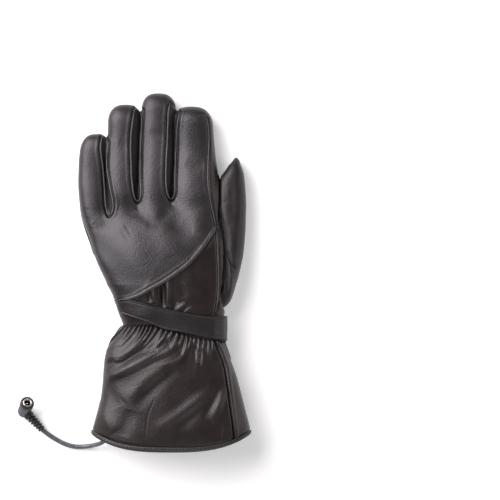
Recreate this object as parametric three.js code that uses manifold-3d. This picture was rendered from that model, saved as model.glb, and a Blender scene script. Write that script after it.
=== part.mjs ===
// A heated leather gauntlet glove for the left hand, lying palm down.
// Millimetres, +Z up. The fingers point along +Y and the thumb lies on the +X side.
// The hand, fingers, thumb and cuff are hollow lofts. Their wall is cut along the seams into the sewn panels,
// and what is sewn on top (strap, welt, pads, patches) is a skin that follows the surface beneath it.

import * as THREE from "three";
import { mergeVertices } from "three/addons/utils/BufferGeometryUtils.js";
import Module from "manifold-3d";

const wasm = await Module();
wasm.setup();

// Clearance between pieces that touch, and how far forms reach below the floor before it flattens them
const gap = 0.3;
const press = 0.6;

// Facets closer to a flat face than this are merged into it, outside and on the hidden inner faces
const fineness = 0.14;
const innerFineness = 0.45;

// Hand: wrist seam to knuckles
const wristY = -50.6;
const wristX = 8.4;
const wristWidth = 93.2;
const wristBottom = 4.5;
const wristTop = 42;
const palmLength = 112.6;
const knuckleX = -9;
const knuckleWidth = 125;
const knuckleBottom = 1.4;
const knuckleTop = 27;
const handSwell = 12;
const knuckleDrop = 29;
const handWall = 4;

// Fingers and thumb
const fingerReach = 101.8;
const fingerWidth = 30;
const fingerDepth = 26;
const fingerDome = 18;
const thumbLength = 153;
const thumbWidth = 30;
const thumbDepth = 32;
const thumbTipX = 66.6;
const thumbTipY = 105.2;

// Cuff
const cuffLength = 107;
const mouthX = 6.2;
const mouthWidth = 146.8;
const mouthTop = 52;
const wristSlope = 0.149;
const hemRise = 15;
const cuffWall = 3;
const bindingWidth = 4.6;
const bindingSwell = 0.8;
const pleatCount = 24;
const pleatDepth = 1.5;

// Seams: heights at which the palm meets the side walls, and the side walls meet the back
const palmSeamAtTips = 6.5;
const palmSeamAtWrist = 13;
const backSeamAtTips = 15.5;
const backSeamAtWrist = 30;
const capLength = 10;

// What is sewn on
const strapThickness = 2.6;
const strapSeat = 0.4;
const strapWidth = 22;
const strapTurn = 18;
const weltWidth = 3.2;
const weltHeight = 2;
const padHeight = 1.5;
const patchHeight = 1.3;
const patchWidth = 63.5;
const patchDepth = 21;
const tabWidth = 6;
const tabHeight = 1.9;
const clipLength = 12;
const clipWidth = 7;
const clipThickness = 4.2;
const prongLength = 6.5;

// Power lead
const cordDiameter = 4.4;
const plugDiameter = 11.8;
const plugCollarDiameter = 12.7;
const plugLength = 23;
const reliefWide = 4.7;
const reliefNarrow = 3.4;
const reliefRibs = 5;
const ringDiameter = 8.7;
const ringBore = 5.4;
const ringLength = 9;
const pinDiameter = 1.7;
const outletLength = 13;
const outletWidth = 11;
const outletHeight = 7;

// Axis of the plug's body, from its closed end up to its open face
const plugFoot = new THREE.Vector3(-132, -131.6, 2.9);
const plugAxis = new THREE.Vector3(0.25, 0.45, 0.86).normalize();

// Route of the cord's centre line, from the outlet inside the cuff over its lip to the strain relief
const cordRoute = [
  [-43.5, -142, 11],
  [-48, -148.5, 13.4],
  [-53.5, -154.8, 15.9],
  [-58.5, -159, 13.2],
  [-65, -161.6, 7.6],
  [-72, -163.3, 3.9],
  [-80, -164, 2.5],
  [-86.5, -163.5, 2.25],
  [-95.3, -160.7, 2.25],
  [-104.5, -155.6, 2.4],
  [-110.3, -151.6, 3],
  [-114.7, -147.9, 3.7],
];

// Hand sections. left: 0 at the wrist's side, 1 at the knuckles'. swell: of handSwell, on the thumb side.
// bottom and top: 0 at the wrist's height, 1 at the knuckles'. hump: of handSwell, on top.
const handRows = [
  { along: -0.2, left: -0.02, swell: 0, bottom: 0, top: 0, hump: 0 },
  { along: 0, left: 0, swell: 0, bottom: 0, top: 0, hump: 0 },
  { along: 0.094, left: 0.11, swell: 0.02, bottom: 0.1, top: 0, hump: 0.1 },
  { along: 0.26, left: 0.3, swell: 0.07, bottom: 0.35, top: 0.1, hump: 0.3 },
  { along: 0.39, left: 0.55, swell: 0.15, bottom: 0.62, top: 0.2, hump: 0.42 },
  { along: 0.52, left: 0.745, swell: 0.24, bottom: 0.8, top: 0.3, hump: 0.46 },
  { along: 0.65, left: 0.82, swell: 0.26, bottom: 0.92, top: 0.42, hump: 0.4 },
  { along: 0.78, left: 0.88, swell: 0.25, bottom: 1, top: 0.6, hump: 0.25 },
  { along: 0.91, left: 0.95, swell: 0.14, bottom: 1, top: 0.85, hump: 0.1 },
  { along: 1, left: 1, swell: 0, bottom: 1, top: 1, hump: 0 },
];

// Fingers. X columns are shares of knuckleWidth. tip is a share of fingerReach beyond the knuckles, base and
// root shares of palmLength. width and depth are shares of fingerWidth and fingerDepth. flare widens the base.
const fingers = [
  { name: "little", tipX: -0.504, tip: 0.638, baseX: -0.508, base: -0.107, rootX: -0.448, root: -0.42,
    width: 0.833, depth: 0.885, bow: -0.1, flare: 0.02 },
  { name: "ring", tipX: -0.287, tip: 0.9, baseX: -0.306, base: -0.045, rootX: -0.288, root: -0.39,
    width: 0.953, depth: 0.98, bow: -0.02, flare: -0.02 },
  { name: "middle", tipX: -0.044, tip: 1, baseX: -0.076, base: 0.018, rootX: -0.072, root: -0.375,
    width: 1.007, depth: 1.02, bow: 0.05, flare: 0 },
  { name: "index", tipX: 0.198, tip: 0.882, baseX: 0.242, base: -0.018, rootX: 0.24, root: -0.39,
    width: 1.183, depth: 1.06, bow: 0.04, flare: 0.23 },
];

// Thumb sections from its tip towards the wrist. left and right are shares of thumbWidth from thumbTipX.
const thumbRows = [
  { along: 0, left: -0.38, right: 0.19, bottom: 0, top: 0.76 },
  { along: 0.086, left: -0.46, right: 0.2, bottom: 0, top: 0.8 },
  { along: 0.14, left: -0.57, right: 0.235, bottom: 0, top: 0.85 },
  { along: 0.285, left: -0.66, right: 0.28, bottom: 0, top: 0.92 },
  { along: 0.45, left: -0.75, right: 0.265, bottom: 0, top: 0.97 },
  { along: 0.573, left: -0.88, right: 0.21, bottom: 0, top: 1.01 },
  { along: 0.71, left: -1.09, right: 0.055, bottom: 0, top: 1.05 },
  { along: 0.86, left: -1.28, right: -0.19, bottom: 0.1, top: 1.05 },
  { along: 0.93, left: -1.35, right: -0.45, bottom: 0.26, top: 1 },
  { along: 1, left: -1.35, right: -0.75, bottom: 0.42, top: 0.92 },
];

// Cuff sections. 0 is the wrist seam and 1 the hem, in each column.
const cuffRows = [
  { along: 0, left: 0, right: 0, bottom: 0, top: 0 },
  { along: 0.07, left: 0.234, right: 0.092, bottom: 0.1, top: 0.15 },
  { along: 0.15, left: 0.407, right: 0.213, bottom: 0.22, top: 0.35 },
  { along: 0.3, left: 0.579, right: 0.41, bottom: 0.65, top: 0.65 },
  { along: 0.5, left: 0.648, right: 0.62, bottom: 1, top: 0.85 },
  { along: 0.7, left: 0.728, right: 0.79, bottom: 1, top: 1 },
  { along: 0.85, left: 0.872, right: 0.91, bottom: 1, top: 1.05 },
  { along: 1, left: 1, right: 1, bottom: 1, top: 1 },
];

// Long soft folds on the back of the cuff: start and end as shares across (0 little side, 1 thumb side) and
// along (0 wrist, 1 hem), with width and depth as shares of pleatDepth.
const cuffFolds = [
  { fromAcross: 0.47, fromAlong: 0.06, toAcross: 0.09, toAlong: 0.4, width: 2.6, depth: 1.3 },
  { fromAcross: 0.42, fromAlong: 0.25, toAcross: 0.24, toAlong: 0.52, width: 3, depth: 0.9 },
  { fromAcross: 0.7, fromAlong: 0.5, toAcross: 0.5, toAlong: 0.76, width: 3.4, depth: 0.9 },
  { fromAcross: 0.84, fromAlong: 0.52, toAcross: 0.78, toAlong: 0.76, width: 2.6, depth: 0.8 },
];

// Plan points, as shares: x of knuckleWidth from knuckleX, y of palmLength from wristY
const weltLine = [
  { x: 0.51, y: 0.88 },
  { x: 0.444, y: 0.801 },
  { x: 0.37, y: 0.662 },
  { x: 0.26, y: 0.523 },
  { x: 0.15, y: 0.433 },
  { x: 0.039, y: 0.351 },
  { x: -0.056, y: 0.294 },
  { x: -0.13, y: 0.245 },
  { x: -0.182, y: 0.22 },
  { x: -0.292, y: 0.212 },
  { x: -0.6, y: 0.205 },
];
const gussetSeam = [
  { x: 0.397, y: 1.6 },
  { x: 0.391, y: 1.2 },
  { x: 0.41, y: 1.03 },
  { x: 0.451, y: 0.801 },
  { x: 0.462, y: 0.678 },
  { x: 0.47, y: 0.49 },
  { x: 0.47, y: 0.3 },
  { x: 0.449, y: 0.115 },
  { x: 0.449, y: -0.3 },
];
const keyholeSeam = [
  { x: 0.7, y: 0.77 },
  { x: 0.364, y: 0.755 },
  { x: 0.285, y: 0.727 },
  { x: 0.194, y: 0.638 },
  { x: 0.134, y: 0.556 },
  { x: 0.098, y: 0.465 },
  { x: 0.086, y: 0.368 },
  { x: 0.098, y: 0.229 },
  { x: 0.142, y: 0.115 },
  { x: 0.23, y: 0 },
  { x: 0.3, y: -0.06 },
  { x: 0.7, y: -0.06 },
];
const pads = [
  [{ x: 0.12, y: 0.698 }, { x: -0.354, y: 0.671 }, { x: -0.349, y: 0.511 }, { x: 0.059, y: 0.536 }],
  [{ x: 0.036, y: 0.474 }, { x: -0.354, y: 0.433 }, { x: -0.344, y: 0.266 }, { x: 0.017, y: 0.322 }],
  [{ x: 0.012, y: 0.24 }, { x: -0.335, y: 0.198 }, { x: -0.326, y: 0.052 }, { x: 0.06, y: 0.083 }],
];

// Strap edges on the back as shares: x across the wrist (0 little side, 1 thumb side), y of strapWidth from
// wristY. On the palm it runs level and ends part of the way across.
const strapTopEdge = [
  { x: -0.2, y: 1.5 },
  { x: 0.138, y: 1.21 },
  { x: 0.366, y: 0.877 },
  { x: 0.613, y: 0.627 },
  { x: 0.81, y: 0.46 },
  { x: 1.1, y: 0.42 },
];
const strapBottomEdge = [
  { x: 1.1, y: -0.66 },
  { x: 0.925, y: -0.56 },
  { x: 0.755, y: -0.418 },
  { x: 0.583, y: -0.25 },
  { x: 0.415, y: -0.11 },
  { x: 0.267, y: 0.168 },
  { x: -0.049, y: 0.709 },
  { x: -0.2, y: 0.9 },
];
const strapPalmEnd = 0.19;

// Materials
const finish = (color, roughness, metalness = 0) => ({ color, roughness, metalness });
const leather = finish(0x3c3637, 0.5);
const lowerLeather = finish(0x3a3130, 0.55);
const suede = finish(0x35302f, 0.8);
const loopCloth = finish(0x2c2b26, 0.95);
const rubber = finish(0x202022, 0.45);
const nickel = finish(0xc9c7be, 0.25, 1);
const plastic = finish(0x1c1c1e, 0.4);

const floorY = { min: -400, max: 400 };
const far = 400;
const lerp = THREE.MathUtils.lerp;

// Table reading: a smooth curve through one named column
function columnAt(rows, column, along) {
  const last = rows.length - 1;
  const found = rows.findIndex((row) => row.along >= along);
  const k = found < 0 ? last : Math.max(found, 1);
  const slope = (i) => {
    const a = rows[Math.max(i - 1, 0)];
    const b = rows[Math.min(i + 1, last)];
    return (b[column] - a[column]) / (b.along - a.along);
  };
  const from = rows[k - 1];
  const to = rows[k];
  const span = to.along - from.along;
  const t = THREE.MathUtils.clamp((along - from.along) / span, 0, 1);
  const bend = t * t * (3 - 2 * t);
  const start = t * (1 - t) * (1 - t) * span * slope(k - 1);
  const end = t * t * (t - 1) * span * slope(k);
  return lerp(from[column], to[column], bend) + start + end;
}

// Solids
function solidFrom(geometry) {
  const bare = new THREE.BufferGeometry();
  const source = geometry.index ? geometry.toNonIndexed() : geometry;
  bare.setAttribute("position", source.getAttribute("position"));
  const merged = mergeVertices(bare, 1e-4);
  const mesh = new wasm.Mesh({
    numProp: 3,
    vertProperties: merged.getAttribute("position").array,
    triVerts: new Uint32Array(merged.index.array),
  });
  return new wasm.Manifold(mesh);
}

function geometryFrom(solid) {
  const mesh = solid.getMesh();
  const geometry = new THREE.BufferGeometry();
  geometry.setAttribute("position", new THREE.BufferAttribute(mesh.vertProperties, 3));
  geometry.setIndex(new THREE.BufferAttribute(mesh.triVerts, 1));
  return geometry;
}

function allOf(solids) {
  return solids.reduce((whole, solid) => whole.add(solid));
}

// The largest body of a cut: slivers that a seam leaves on the wrong side are trimmed away
function mainBody(solid) {
  const bodies = solid.decompose();
  return bodies.reduce((best, body) => (body.volume() > best.volume() ? body : best));
}

// A closed solid through rings of points, each ring with as many points as the next
function loft(rings) {
  const sides = rings[0].length;
  const points = rings.flat();
  const triangles = [];
  for (let r = 0; r < rings.length - 1; r++) {
    for (let i = 0; i < sides; i++) {
      const a = r * sides + i;
      const b = r * sides + ((i + 1) % sides);
      triangles.push(a, b, a + sides, b, b + sides, a + sides);
    }
  }
  const middle = (ring) =>
    ring.reduce((sum, p) => sum.add(p), new THREE.Vector3()).divideScalar(sides);
  const start = points.push(middle(rings[0])) - 1;
  const end = points.push(middle(rings.at(-1))) - 1;
  const lastRing = (rings.length - 1) * sides;
  for (let i = 0; i < sides; i++) {
    const next = (i + 1) % sides;
    triangles.push(next, i, start, lastRing + i, lastRing + next, end);
  }
  const area = rings[0].reduce((sum, p, i) => {
    const q = rings[0][(i + 1) % sides];
    return sum + p.x * q.z - q.x * p.z;
  }, 0);
  const forward = middle(rings.at(-1)).y > middle(rings[0]).y;
  if (area > 0 === forward) triangles.reverse();
  const geometry = new THREE.BufferGeometry().setFromPoints(points);
  geometry.setIndex(triangles);
  return solidFrom(geometry);
}

// A rounded outline across Y. grow moves it outwards, and narrow and thin shrink it towards a tip.
function outline(section, sides, grow) {
  const { left, right, bottom, top, narrow = 1, thin = 1, round = 2.5, yAt } = section;
  const halfWidth = Math.max((right - left) / 2 + grow, 0.5) * narrow;
  const ownWidth = ((right - left) / 2) * narrow;
  const halfDepth = Math.max((top - bottom) / 2 + grow, 0.5) * thin;
  const middleX = (left + right) / 2;
  const middleZ = (bottom + top) / 2;
  return Array.from({ length: sides }, (_, i) => {
    const angle = (2 * Math.PI * i) / sides;
    const [c, s] = [Math.cos(angle), Math.sin(angle)];
    const power = 2 / (s < 0 ? round + 0.5 : round);
    const across = Math.sign(c) * Math.abs(c) ** power;
    const up = Math.sign(s) * Math.abs(s) ** power;
    return new THREE.Vector3(middleX + halfWidth * across, yAt(middleX + ownWidth * across), middleZ + halfDepth * up);
  });
}

// A column of straight sides over a plan outline
function prism(points, bottom = -far, top = far) {
  const shape = new THREE.Shape(points.map((p) => new THREE.Vector2(p.x, p.y)));
  const geometry = new THREE.ExtrudeGeometry(shape, { depth: top - bottom, bevelEnabled: false });
  return solidFrom(geometry.translate(0, 0, bottom));
}

// A block right across X whose outline is given in Y and Z
function block(points) {
  const shape = new THREE.Shape(points.map((p) => new THREE.Vector2(p.y, p.z)));
  const geometry = new THREE.ExtrudeGeometry(shape, { depth: 2 * far, bevelEnabled: false });
  const turn = new THREE.Matrix4().makeBasis(
    new THREE.Vector3(0, 1, 0),
    new THREE.Vector3(0, 0, 1),
    new THREE.Vector3(1, 0, 0),
  );
  return solidFrom(geometry.applyMatrix4(turn).translate(-far, 0, 0));
}

const aboveFloor = block([
  { y: floorY.min, z: 0 },
  { y: floorY.max, z: 0 },
  { y: floorY.max, z: far },
  { y: floorY.min, z: far },
]);
const onFloor = (solid) => solid.intersect(aboveFloor);

// Plan places
const wristSide = (side) => wristX + (side * wristWidth) / 2;
const knuckleSide = (side) => knuckleX + (side * knuckleWidth) / 2;
const mouthSide = (side) => mouthX + (side * mouthWidth) / 2;
const knuckleY = wristY + palmLength;
const tipY = knuckleY + fingerReach;
const onPalm = (p) => ({ x: knuckleX + p.x * knuckleWidth, y: wristY + p.y * palmLength });
const wristLine = (x) => wristY - 6.8 - wristSlope * (x - wristX);
const hemLine = (x) => {
  const across = Math.abs((x - mouthX) / (mouthWidth / 2));
  return wristY - 6.8 - cuffLength + hemRise * Math.min(across, 1.1) ** 3;
};

// Hand
function handSection(along) {
  const at = (column) => columnAt(handRows, column, along);
  const left = lerp(wristSide(-1), knuckleSide(-1), at("left"));
  const straight = lerp(wristSide(1), knuckleSide(1), Math.max(along, 0));
  const late = THREE.MathUtils.smoothstep(along, 0.45, 1);
  return {
    left,
    right: straight + at("swell") * handSwell,
    bottom: lerp(wristBottom, knuckleBottom, at("bottom")),
    top: lerp(wristTop, knuckleTop, at("top")) + at("hump") * handSwell,
    yAt: (x) => {
      const off = (x - knuckleX - 0.15 * knuckleWidth) / (0.71 * knuckleWidth);
      return wristY + along * palmLength - knuckleDrop * off * off * late;
    },
  };
}

function hand(grow, sides = 26) {
  const stops = [-0.2, 0, 0.1, 0.24, 0.4, 0.55, 0.7, 0.86, 1];
  const rings = stops.map((along) => {
    const section = handSection(along);
    const { yAt } = section;
    const ends = along === 1 ? grow : 0;
    return outline({ ...section, yAt: (x) => yAt(x) + ends }, sides, grow);
  });
  return loft(rings);
}

// Fingers
const fingerX = (finger, y) => {
  const tip = { x: knuckleX + (finger.tipX + 0.072) * knuckleWidth, y: knuckleY + finger.tip * fingerReach };
  const base = { x: knuckleX + (finger.baseX + 0.072) * knuckleWidth, y: knuckleY + finger.base * palmLength };
  const root = { x: knuckleX + (finger.rootX + 0.072) * knuckleWidth, y: knuckleY + finger.root * palmLength };
  const t = (tip.y - y) / (tip.y - base.y);
  if (t > 1) return lerp(base.x, root.x, (base.y - y) / (base.y - root.y));
  return lerp(tip.x, base.x, t) + 4 * t * (1 - t) * finger.bow * fingerWidth;
};
const fingerTip = (finger) => knuckleY + finger.tip * fingerReach;
const fingerBase = (finger) => knuckleY + finger.base * palmLength;
const fingerRoot = (finger) => knuckleY + finger.root * palmLength;

function fingerSection(finger, y, grow) {
  const depth = finger.depth * fingerDepth;
  const fromTip = fingerTip(finger) + grow - y;
  const t = fromTip / (fingerTip(finger) - fingerBase(finger));
  const inPalm = THREE.MathUtils.clamp((fingerBase(finger) - y) / (fingerBase(finger) - fingerRoot(finger)), 0, 1);
  const flare = 1 + finger.flare * THREE.MathUtils.smoothstep(t, 0.35, 1);
  const halfWidth = ((finger.width * fingerWidth) / 2) * flare * (1 - 0.25 * inPalm);
  const middle = fingerX(finger, Math.min(y, fingerTip(finger)));
  const round = Math.min(fromTip / (fingerDome + grow), 1);
  const lift = THREE.MathUtils.smoothstep(t, 0.3, 1);
  return {
    left: middle - halfWidth,
    right: middle + halfWidth,
    bottom: lerp(-press, knuckleBottom + 1.5, inPalm),
    top: depth * (0.92 + 0.2 * lift + 0.34 * inPalm),
    narrow: (1 - (1 - round) ** 2.6) ** (1 / 2.6),
    thin: (1 - (1 - round) ** 2.2) ** (1 / 2.2),
    yAt: () => y,
  };
}

function finger(row, grow, sides = 16) {
  const tip = fingerTip(row) + grow;
  const dome = fingerDome + grow;
  const domed = [0.015, 0.12, 0.4, 1].map((share) => tip - dome * share);
  const along = [0.4, 0.75, 1].map((share) => lerp(tip - dome, fingerBase(row), share));
  const stops = [...domed, ...along, lerp(fingerBase(row), fingerRoot(row), 0.5), fingerRoot(row)];
  return loft(stops.map((y) => outline(fingerSection(row, y, grow), sides, grow)));
}

// Thumb
function thumbSection(along, grow) {
  const at = (column) => columnAt(thumbRows, column, along);
  const fromTip = along * thumbLength;
  const round = Math.min(fromTip / (0.9 * fingerDome + grow), 1);
  return {
    left: thumbTipX + at("left") * thumbWidth,
    right: thumbTipX + at("right") * thumbWidth,
    bottom: at("bottom") * thumbDepth - press,
    top: at("top") * thumbDepth,
    narrow: (1 - (1 - round) ** 2.6) ** (1 / 2.6),
    thin: (1 - (1 - round) ** 2.3) ** (1 / 2.3),
    yAt: () => thumbTipY + grow - fromTip,
  };
}

function thumbTube(grow, sides = 14) {
  const stops = [0.001, 0.015, 0.045, 0.11, 0.24, 0.4, 0.57, 0.71, 0.84, 1];
  return loft(stops.map((along) => outline(thumbSection(along, grow), sides, grow)));
}

// Cuff
function cuffSection(along) {
  const at = (column) => columnAt(cuffRows, column, along);
  return {
    left: lerp(wristSide(-1), mouthSide(-1), at("left")),
    right: lerp(wristSide(1), mouthSide(1), at("right")),
    bottom: lerp(wristBottom, -press, at("bottom")),
    top: lerp(wristTop, mouthTop, at("top")),
    yAt: (x) => lerp(wristLine(x), hemLine(x), along),
  };
}

function foldDepth(across, along) {
  return cuffFolds.reduce((sum, fold) => {
    const run = { x: fold.toAcross - fold.fromAcross, y: fold.toAlong - fold.fromAlong };
    const off = { x: across - fold.fromAcross, y: along - fold.fromAlong };
    const share = (off.x * run.x + off.y * run.y) / (run.x ** 2 + run.y ** 2);
    const t = THREE.MathUtils.clamp(share, 0, 1);
    const aside = Math.hypot(off.x - t * run.x, off.y - t * run.y) * mouthWidth;
    const reach = fold.width * pleatDepth;
    return sum + fold.depth * pleatDepth * Math.sin(Math.PI * t) * Math.exp(-((aside / reach) ** 2));
  }, 0);
}

const cuffStops = [0.06, 0.13, 0.24, 0.42, 0.62, 0.82];
const pleatFade = (along) => 1 - THREE.MathUtils.smoothstep(along, 0.02, 0.24);

// The cuff's outer form. Pleats and folds press inwards from a smooth cone, so the outline stays.
function cuffForm(from, to, grow, sides, pleated = false) {
  const inside = cuffStops.filter((along) => along > from + 0.01 && along < to - 0.01);
  const rings = [from, ...inside, to].map((along) => {
    const section = cuffSection(along);
    const middle = new THREE.Vector3((section.left + section.right) / 2, 0, (section.bottom + section.top) / 2);
    return outline(section, sides, grow).map((point, i) => {
      if (!pleated) return point;
      const across = (point.x - section.left) / (section.right - section.left);
      const onBack = point.z > middle.z ? 1 : 0;
      const pleat = (0.5 - 0.5 * Math.cos((2 * Math.PI * i * pleatCount) / sides)) * pleatFade(along);
      const inwards = pleat * pleatDepth + onBack * foldDepth(across, along);
      const outwards = point.clone().sub(middle).setY(0).normalize();
      return point.clone().addScaledVector(outwards, -inwards);
    });
  });
  return loft(rings);
}

// Seams
const seamHeight = (atWrist, atTips) => [
  { y: floorY.min, z: atWrist },
  { y: wristY, z: atWrist },
  { y: wristY + 0.6 * palmLength, z: lerp(atWrist, atTips, 0.45) },
  { y: knuckleY, z: lerp(atWrist, atTips, 0.92) },
  { y: tipY, z: atTips },
  { y: floorY.max, z: atTips },
];
const palmSeam = seamHeight(palmSeamAtWrist, palmSeamAtTips);
const backSeam = seamHeight(backSeamAtWrist, backSeamAtTips);
const sides = [{ y: floorY.max, z: 1 }, { y: floorY.min, z: 1 }];
const shifted = (curve, by) => curve.map((p) => ({ y: p.y, z: p.z + by }));
const above = (curve, by) => block([...shifted(curve, by), ...sides.map((p) => ({ y: p.y, z: far * p.z }))]);
const below = (curve, by) => block([...shifted(curve, -by), ...sides.map((p) => ({ y: p.y, z: -far * p.z }))]);

const half = gap / 2;
const abovePalmSeam = above(palmSeam, half);
const belowPalmSeam = below(palmSeam, half);
const aboveBackSeam = above(backSeam, half);
const belowBackSeam = below(backSeam, half);
const sideBand = abovePalmSeam.intersect(belowBackSeam);

const pushed = (points, x, y) => points.map((p) => ({ x: p.x + x, y: p.y + y }));
const welt = weltLine.map(onPalm);
const aboveWelt = (by) => prism([...pushed(welt, 0, by), { x: -far, y: far }, { x: far, y: far }]);
const belowWelt = (by) => prism([...pushed(welt, 0, -by), { x: -far, y: -far }, { x: far, y: -far }]);
const gusset = gussetSeam.map(onPalm);
const outsideGusset = (by) => prism([{ x: far, y: gusset[0].y }, ...pushed(gusset, by, 0), { x: far, y: gusset.at(-1).y }]);
const insideGusset = (by) =>
  prism([{ x: -far, y: far }, { x: gusset[0].x - by, y: far }, ...pushed(gusset, -by, 0), { x: -far, y: gusset.at(-1).y }]);

function keyhole(grow) {
  const centre = onPalm({ x: 0.5, y: 0.35 });
  const points = keyholeSeam.map(onPalm).map((p) => {
    const away = Math.hypot(p.x - centre.x, p.y - centre.y);
    return { x: p.x + (grow * (p.x - centre.x)) / away, y: p.y + (grow * (p.y - centre.y)) / away };
  });
  return prism(points).intersect(below(palmSeam, half - grow));
}

// The plan field between two neighbouring fingers' centre lines, from below the crotch to near the tips
function between(left, right, grow) {
  const start = Math.min(fingerBase(left), fingerBase(right)) - 0.1 * palmLength - grow;
  const end = (row) => fingerTip(row) - capLength - 2 + grow;
  const edge = (row, side) => [0, 0.35, 0.7, 1].map((t) => {
    const y = lerp(start, end(row), t);
    return { x: fingerX(row, y) + side * (0.12 * row.width * fingerWidth - grow), y };
  });
  return prism([...edge(left, 1).reverse(), ...edge(right, -1)]);
}

// The ends of the fingers, which the back panel wraps
function caps(by) {
  const fields = fingers.map((row) => {
    const y = fingerTip(row) - capLength + by;
    const x = fingerX(row, y);
    const reach = (row.width * fingerWidth) / 2 + gap - by;
    return prism([{ x: x - reach, y }, { x: x + reach, y }, { x: x + reach, y: far }, { x: x - reach, y: far }]);
  });
  return allOf(fields);
}

// The hand's shell. The thumb opens into it at its root, and beyond that it lies pressed against it.
const handForm = hand(0);
const fingerForms = allOf(fingers.map((row) => finger(row, 0)));
const handHollow = hand(-handWall, 20)
  .add(allOf(fingers.map((row) => finger(row, -handWall, 10))))
  .simplify(innerFineness);
const rootEnd = onPalm({ x: 0, y: 0.56 }).y;
const thumbRootField = prism([
  { x: -far, y: -far },
  { x: far, y: -far },
  { x: far, y: rootEnd },
  { x: -far, y: rootEnd },
]);
const thumbForm = thumbTube(0);
const thumbHollow = thumbTube(-handWall, 12).simplify(innerFineness);
const thumbRootHollow = thumbHollow.intersect(thumbRootField);
const aboveWristLine = prism([
  { x: -far, y: wristLine(-far) + half },
  { x: far, y: wristLine(far) + half },
  { x: far, y: far },
  { x: -far, y: far },
]);
const handOuter = handForm.add(fingerForms).intersect(aboveWristLine);
const handShell = onFloor(handOuter.subtract(handHollow).subtract(thumbRootHollow));

const beside = (grow) => hand(grow).add(finger(fingers[3], grow));
const thumbOuter = thumbForm.subtract(beside(gap));
const thumbInner = thumbRootHollow.add(thumbHollow.subtract(beside(gap + handWall * 0.75).simplify(innerFineness)));
const thumbBase = handOuter.add(thumbForm).subtract(handHollow).subtract(thumbRootHollow).intersect(keyhole(0));
const thumb = mainBody(onFloor(thumbOuter.subtract(thumbInner).add(thumbBase).subtract(thumbInner)));

const restOfHand = handShell.subtract(keyhole(gap));
const neighbours = [
  { name: "fourchette_little_ring", left: fingers[0], right: fingers[1] },
  { name: "fourchette_ring_middle", left: fingers[1], right: fingers[2] },
  { name: "fourchette_middle_index", left: fingers[2], right: fingers[3] },
];
const fourchettes = neighbours.map(({ left, right }) =>
  mainBody(restOfHand.intersect(between(left, right, 0)).intersect(sideBand)),
);
const sideBandGrown = above(palmSeam, -half).intersect(below(backSeam, -half));
const fourchetteRoom = allOf(
  neighbours.map(({ left, right }) => between(left, right, gap).intersect(sideBandGrown)),
);
const indexCapY = fingerTip(fingers[3]) - capLength - 2;
const gussetField = (by) => outsideGusset(by).intersect(prism([
  { x: -far, y: -far },
  { x: far, y: -far },
  { x: far, y: indexCapY - by },
  { x: -far, y: indexCapY - by },
]));
const sideGusset = mainBody(restOfHand.intersect(gussetField(half)).intersect(abovePalmSeam));
const palmField = belowPalmSeam.subtract(caps(-half));
const indexPad = { top: fingerTip(fingers[3]) - capLength, bottom: fingerTip(fingers[3]) - 0.4 * fingerReach };
const touchField = (by) => prism([
  { x: fingerX(fingers[3], indexPad.bottom) - 0.65 * fingerWidth, y: indexPad.bottom - by },
  { x: far, y: indexPad.bottom - by },
  { x: far, y: indexPad.top + gap },
  { x: fingerX(fingers[3], indexPad.bottom) - 0.65 * fingerWidth, y: indexPad.top + gap },
]);
const palmSkin = restOfHand.intersect(palmField);
const touchPatch = mainBody(palmSkin.intersect(touchField(-half)));
const palmPanel = mainBody(palmSkin.subtract(touchField(half)));
const backSkin = restOfHand
  .intersect(abovePalmSeam.add(caps(half)))
  .subtract(fourchetteRoom)
  .subtract(gussetField(-half).intersect(above(palmSeam, -half)));
const backPanel = mainBody(backSkin.intersect(aboveWelt(half)));
const lowerBackPanel = mainBody(backSkin.intersect(belowWelt(half)));

// The cuff's shell in two panels, and the binding that closes the hem
const bandShare = bindingWidth / cuffLength;
const cuffStart = half / cuffLength;
const cuffEnd = 1 - bandShare - (2 * gap) / cuffLength;
const cuffOuter = cuffForm(cuffStart, cuffEnd, 0, pleatCount * 3, true);
const cuffInner = cuffForm(-0.05, 1.05, -cuffWall - 0.6 * pleatDepth, 28).simplify(innerFineness);
const cuffShell = onFloor(cuffOuter.subtract(cuffInner));

function cuffPalmField(grow) {
  const middle = (wristBottom + mouthTop) / 2;
  const field = (atWrist, atHem, bottom, top) => prism(
    [
      { x: atWrist - grow, y: wristY + 30 },
      { x: atWrist - grow, y: wristY },
      { x: atHem - grow, y: wristY - cuffLength },
      { x: atHem - grow, y: wristY - cuffLength - 30 },
      { x: far, y: wristY - cuffLength - 30 },
      { x: far, y: wristY + 30 },
    ],
    bottom,
    top,
  );
  const under = field(
    lerp(wristSide(-1), wristSide(1), 0.02),
    lerp(mouthSide(-1), mouthSide(1), 0.1),
    -far,
    middle + grow,
  );
  const over = field(
    lerp(wristSide(-1), wristSide(1), 0.91),
    lerp(mouthSide(-1), mouthSide(1), 0.9),
    middle,
    far,
  );
  return under.add(over);
}
const cuffPalm = mainBody(cuffShell.intersect(cuffPalmField(0)));
const cuffBack = mainBody(cuffShell.subtract(cuffPalmField(gap)));
const bindingInset = cuffWall + 0.6 * pleatDepth + 0.4;
const bindingOuter = cuffForm(1 - bandShare, 1, bindingSwell, pleatCount * 1.5);
const bindingInner = cuffForm(1 - 2 * bandShare, 1 + bandShare, -bindingInset, 26);
const hemBinding = onFloor(bindingOuter.subtract(bindingInner));

// Skins sewn on top
const trunk = (grow) => hand(grow).add(cuffForm(0, 0.35, grow, 32));
const handBody = (grow) => allOf([hand(grow), ...fingers.map((row) => finger(row, grow))]);
const handSkin = (height) => handBody(height).subtract(handBody(gap));
const padSkin = handSkin(padHeight);

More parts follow.
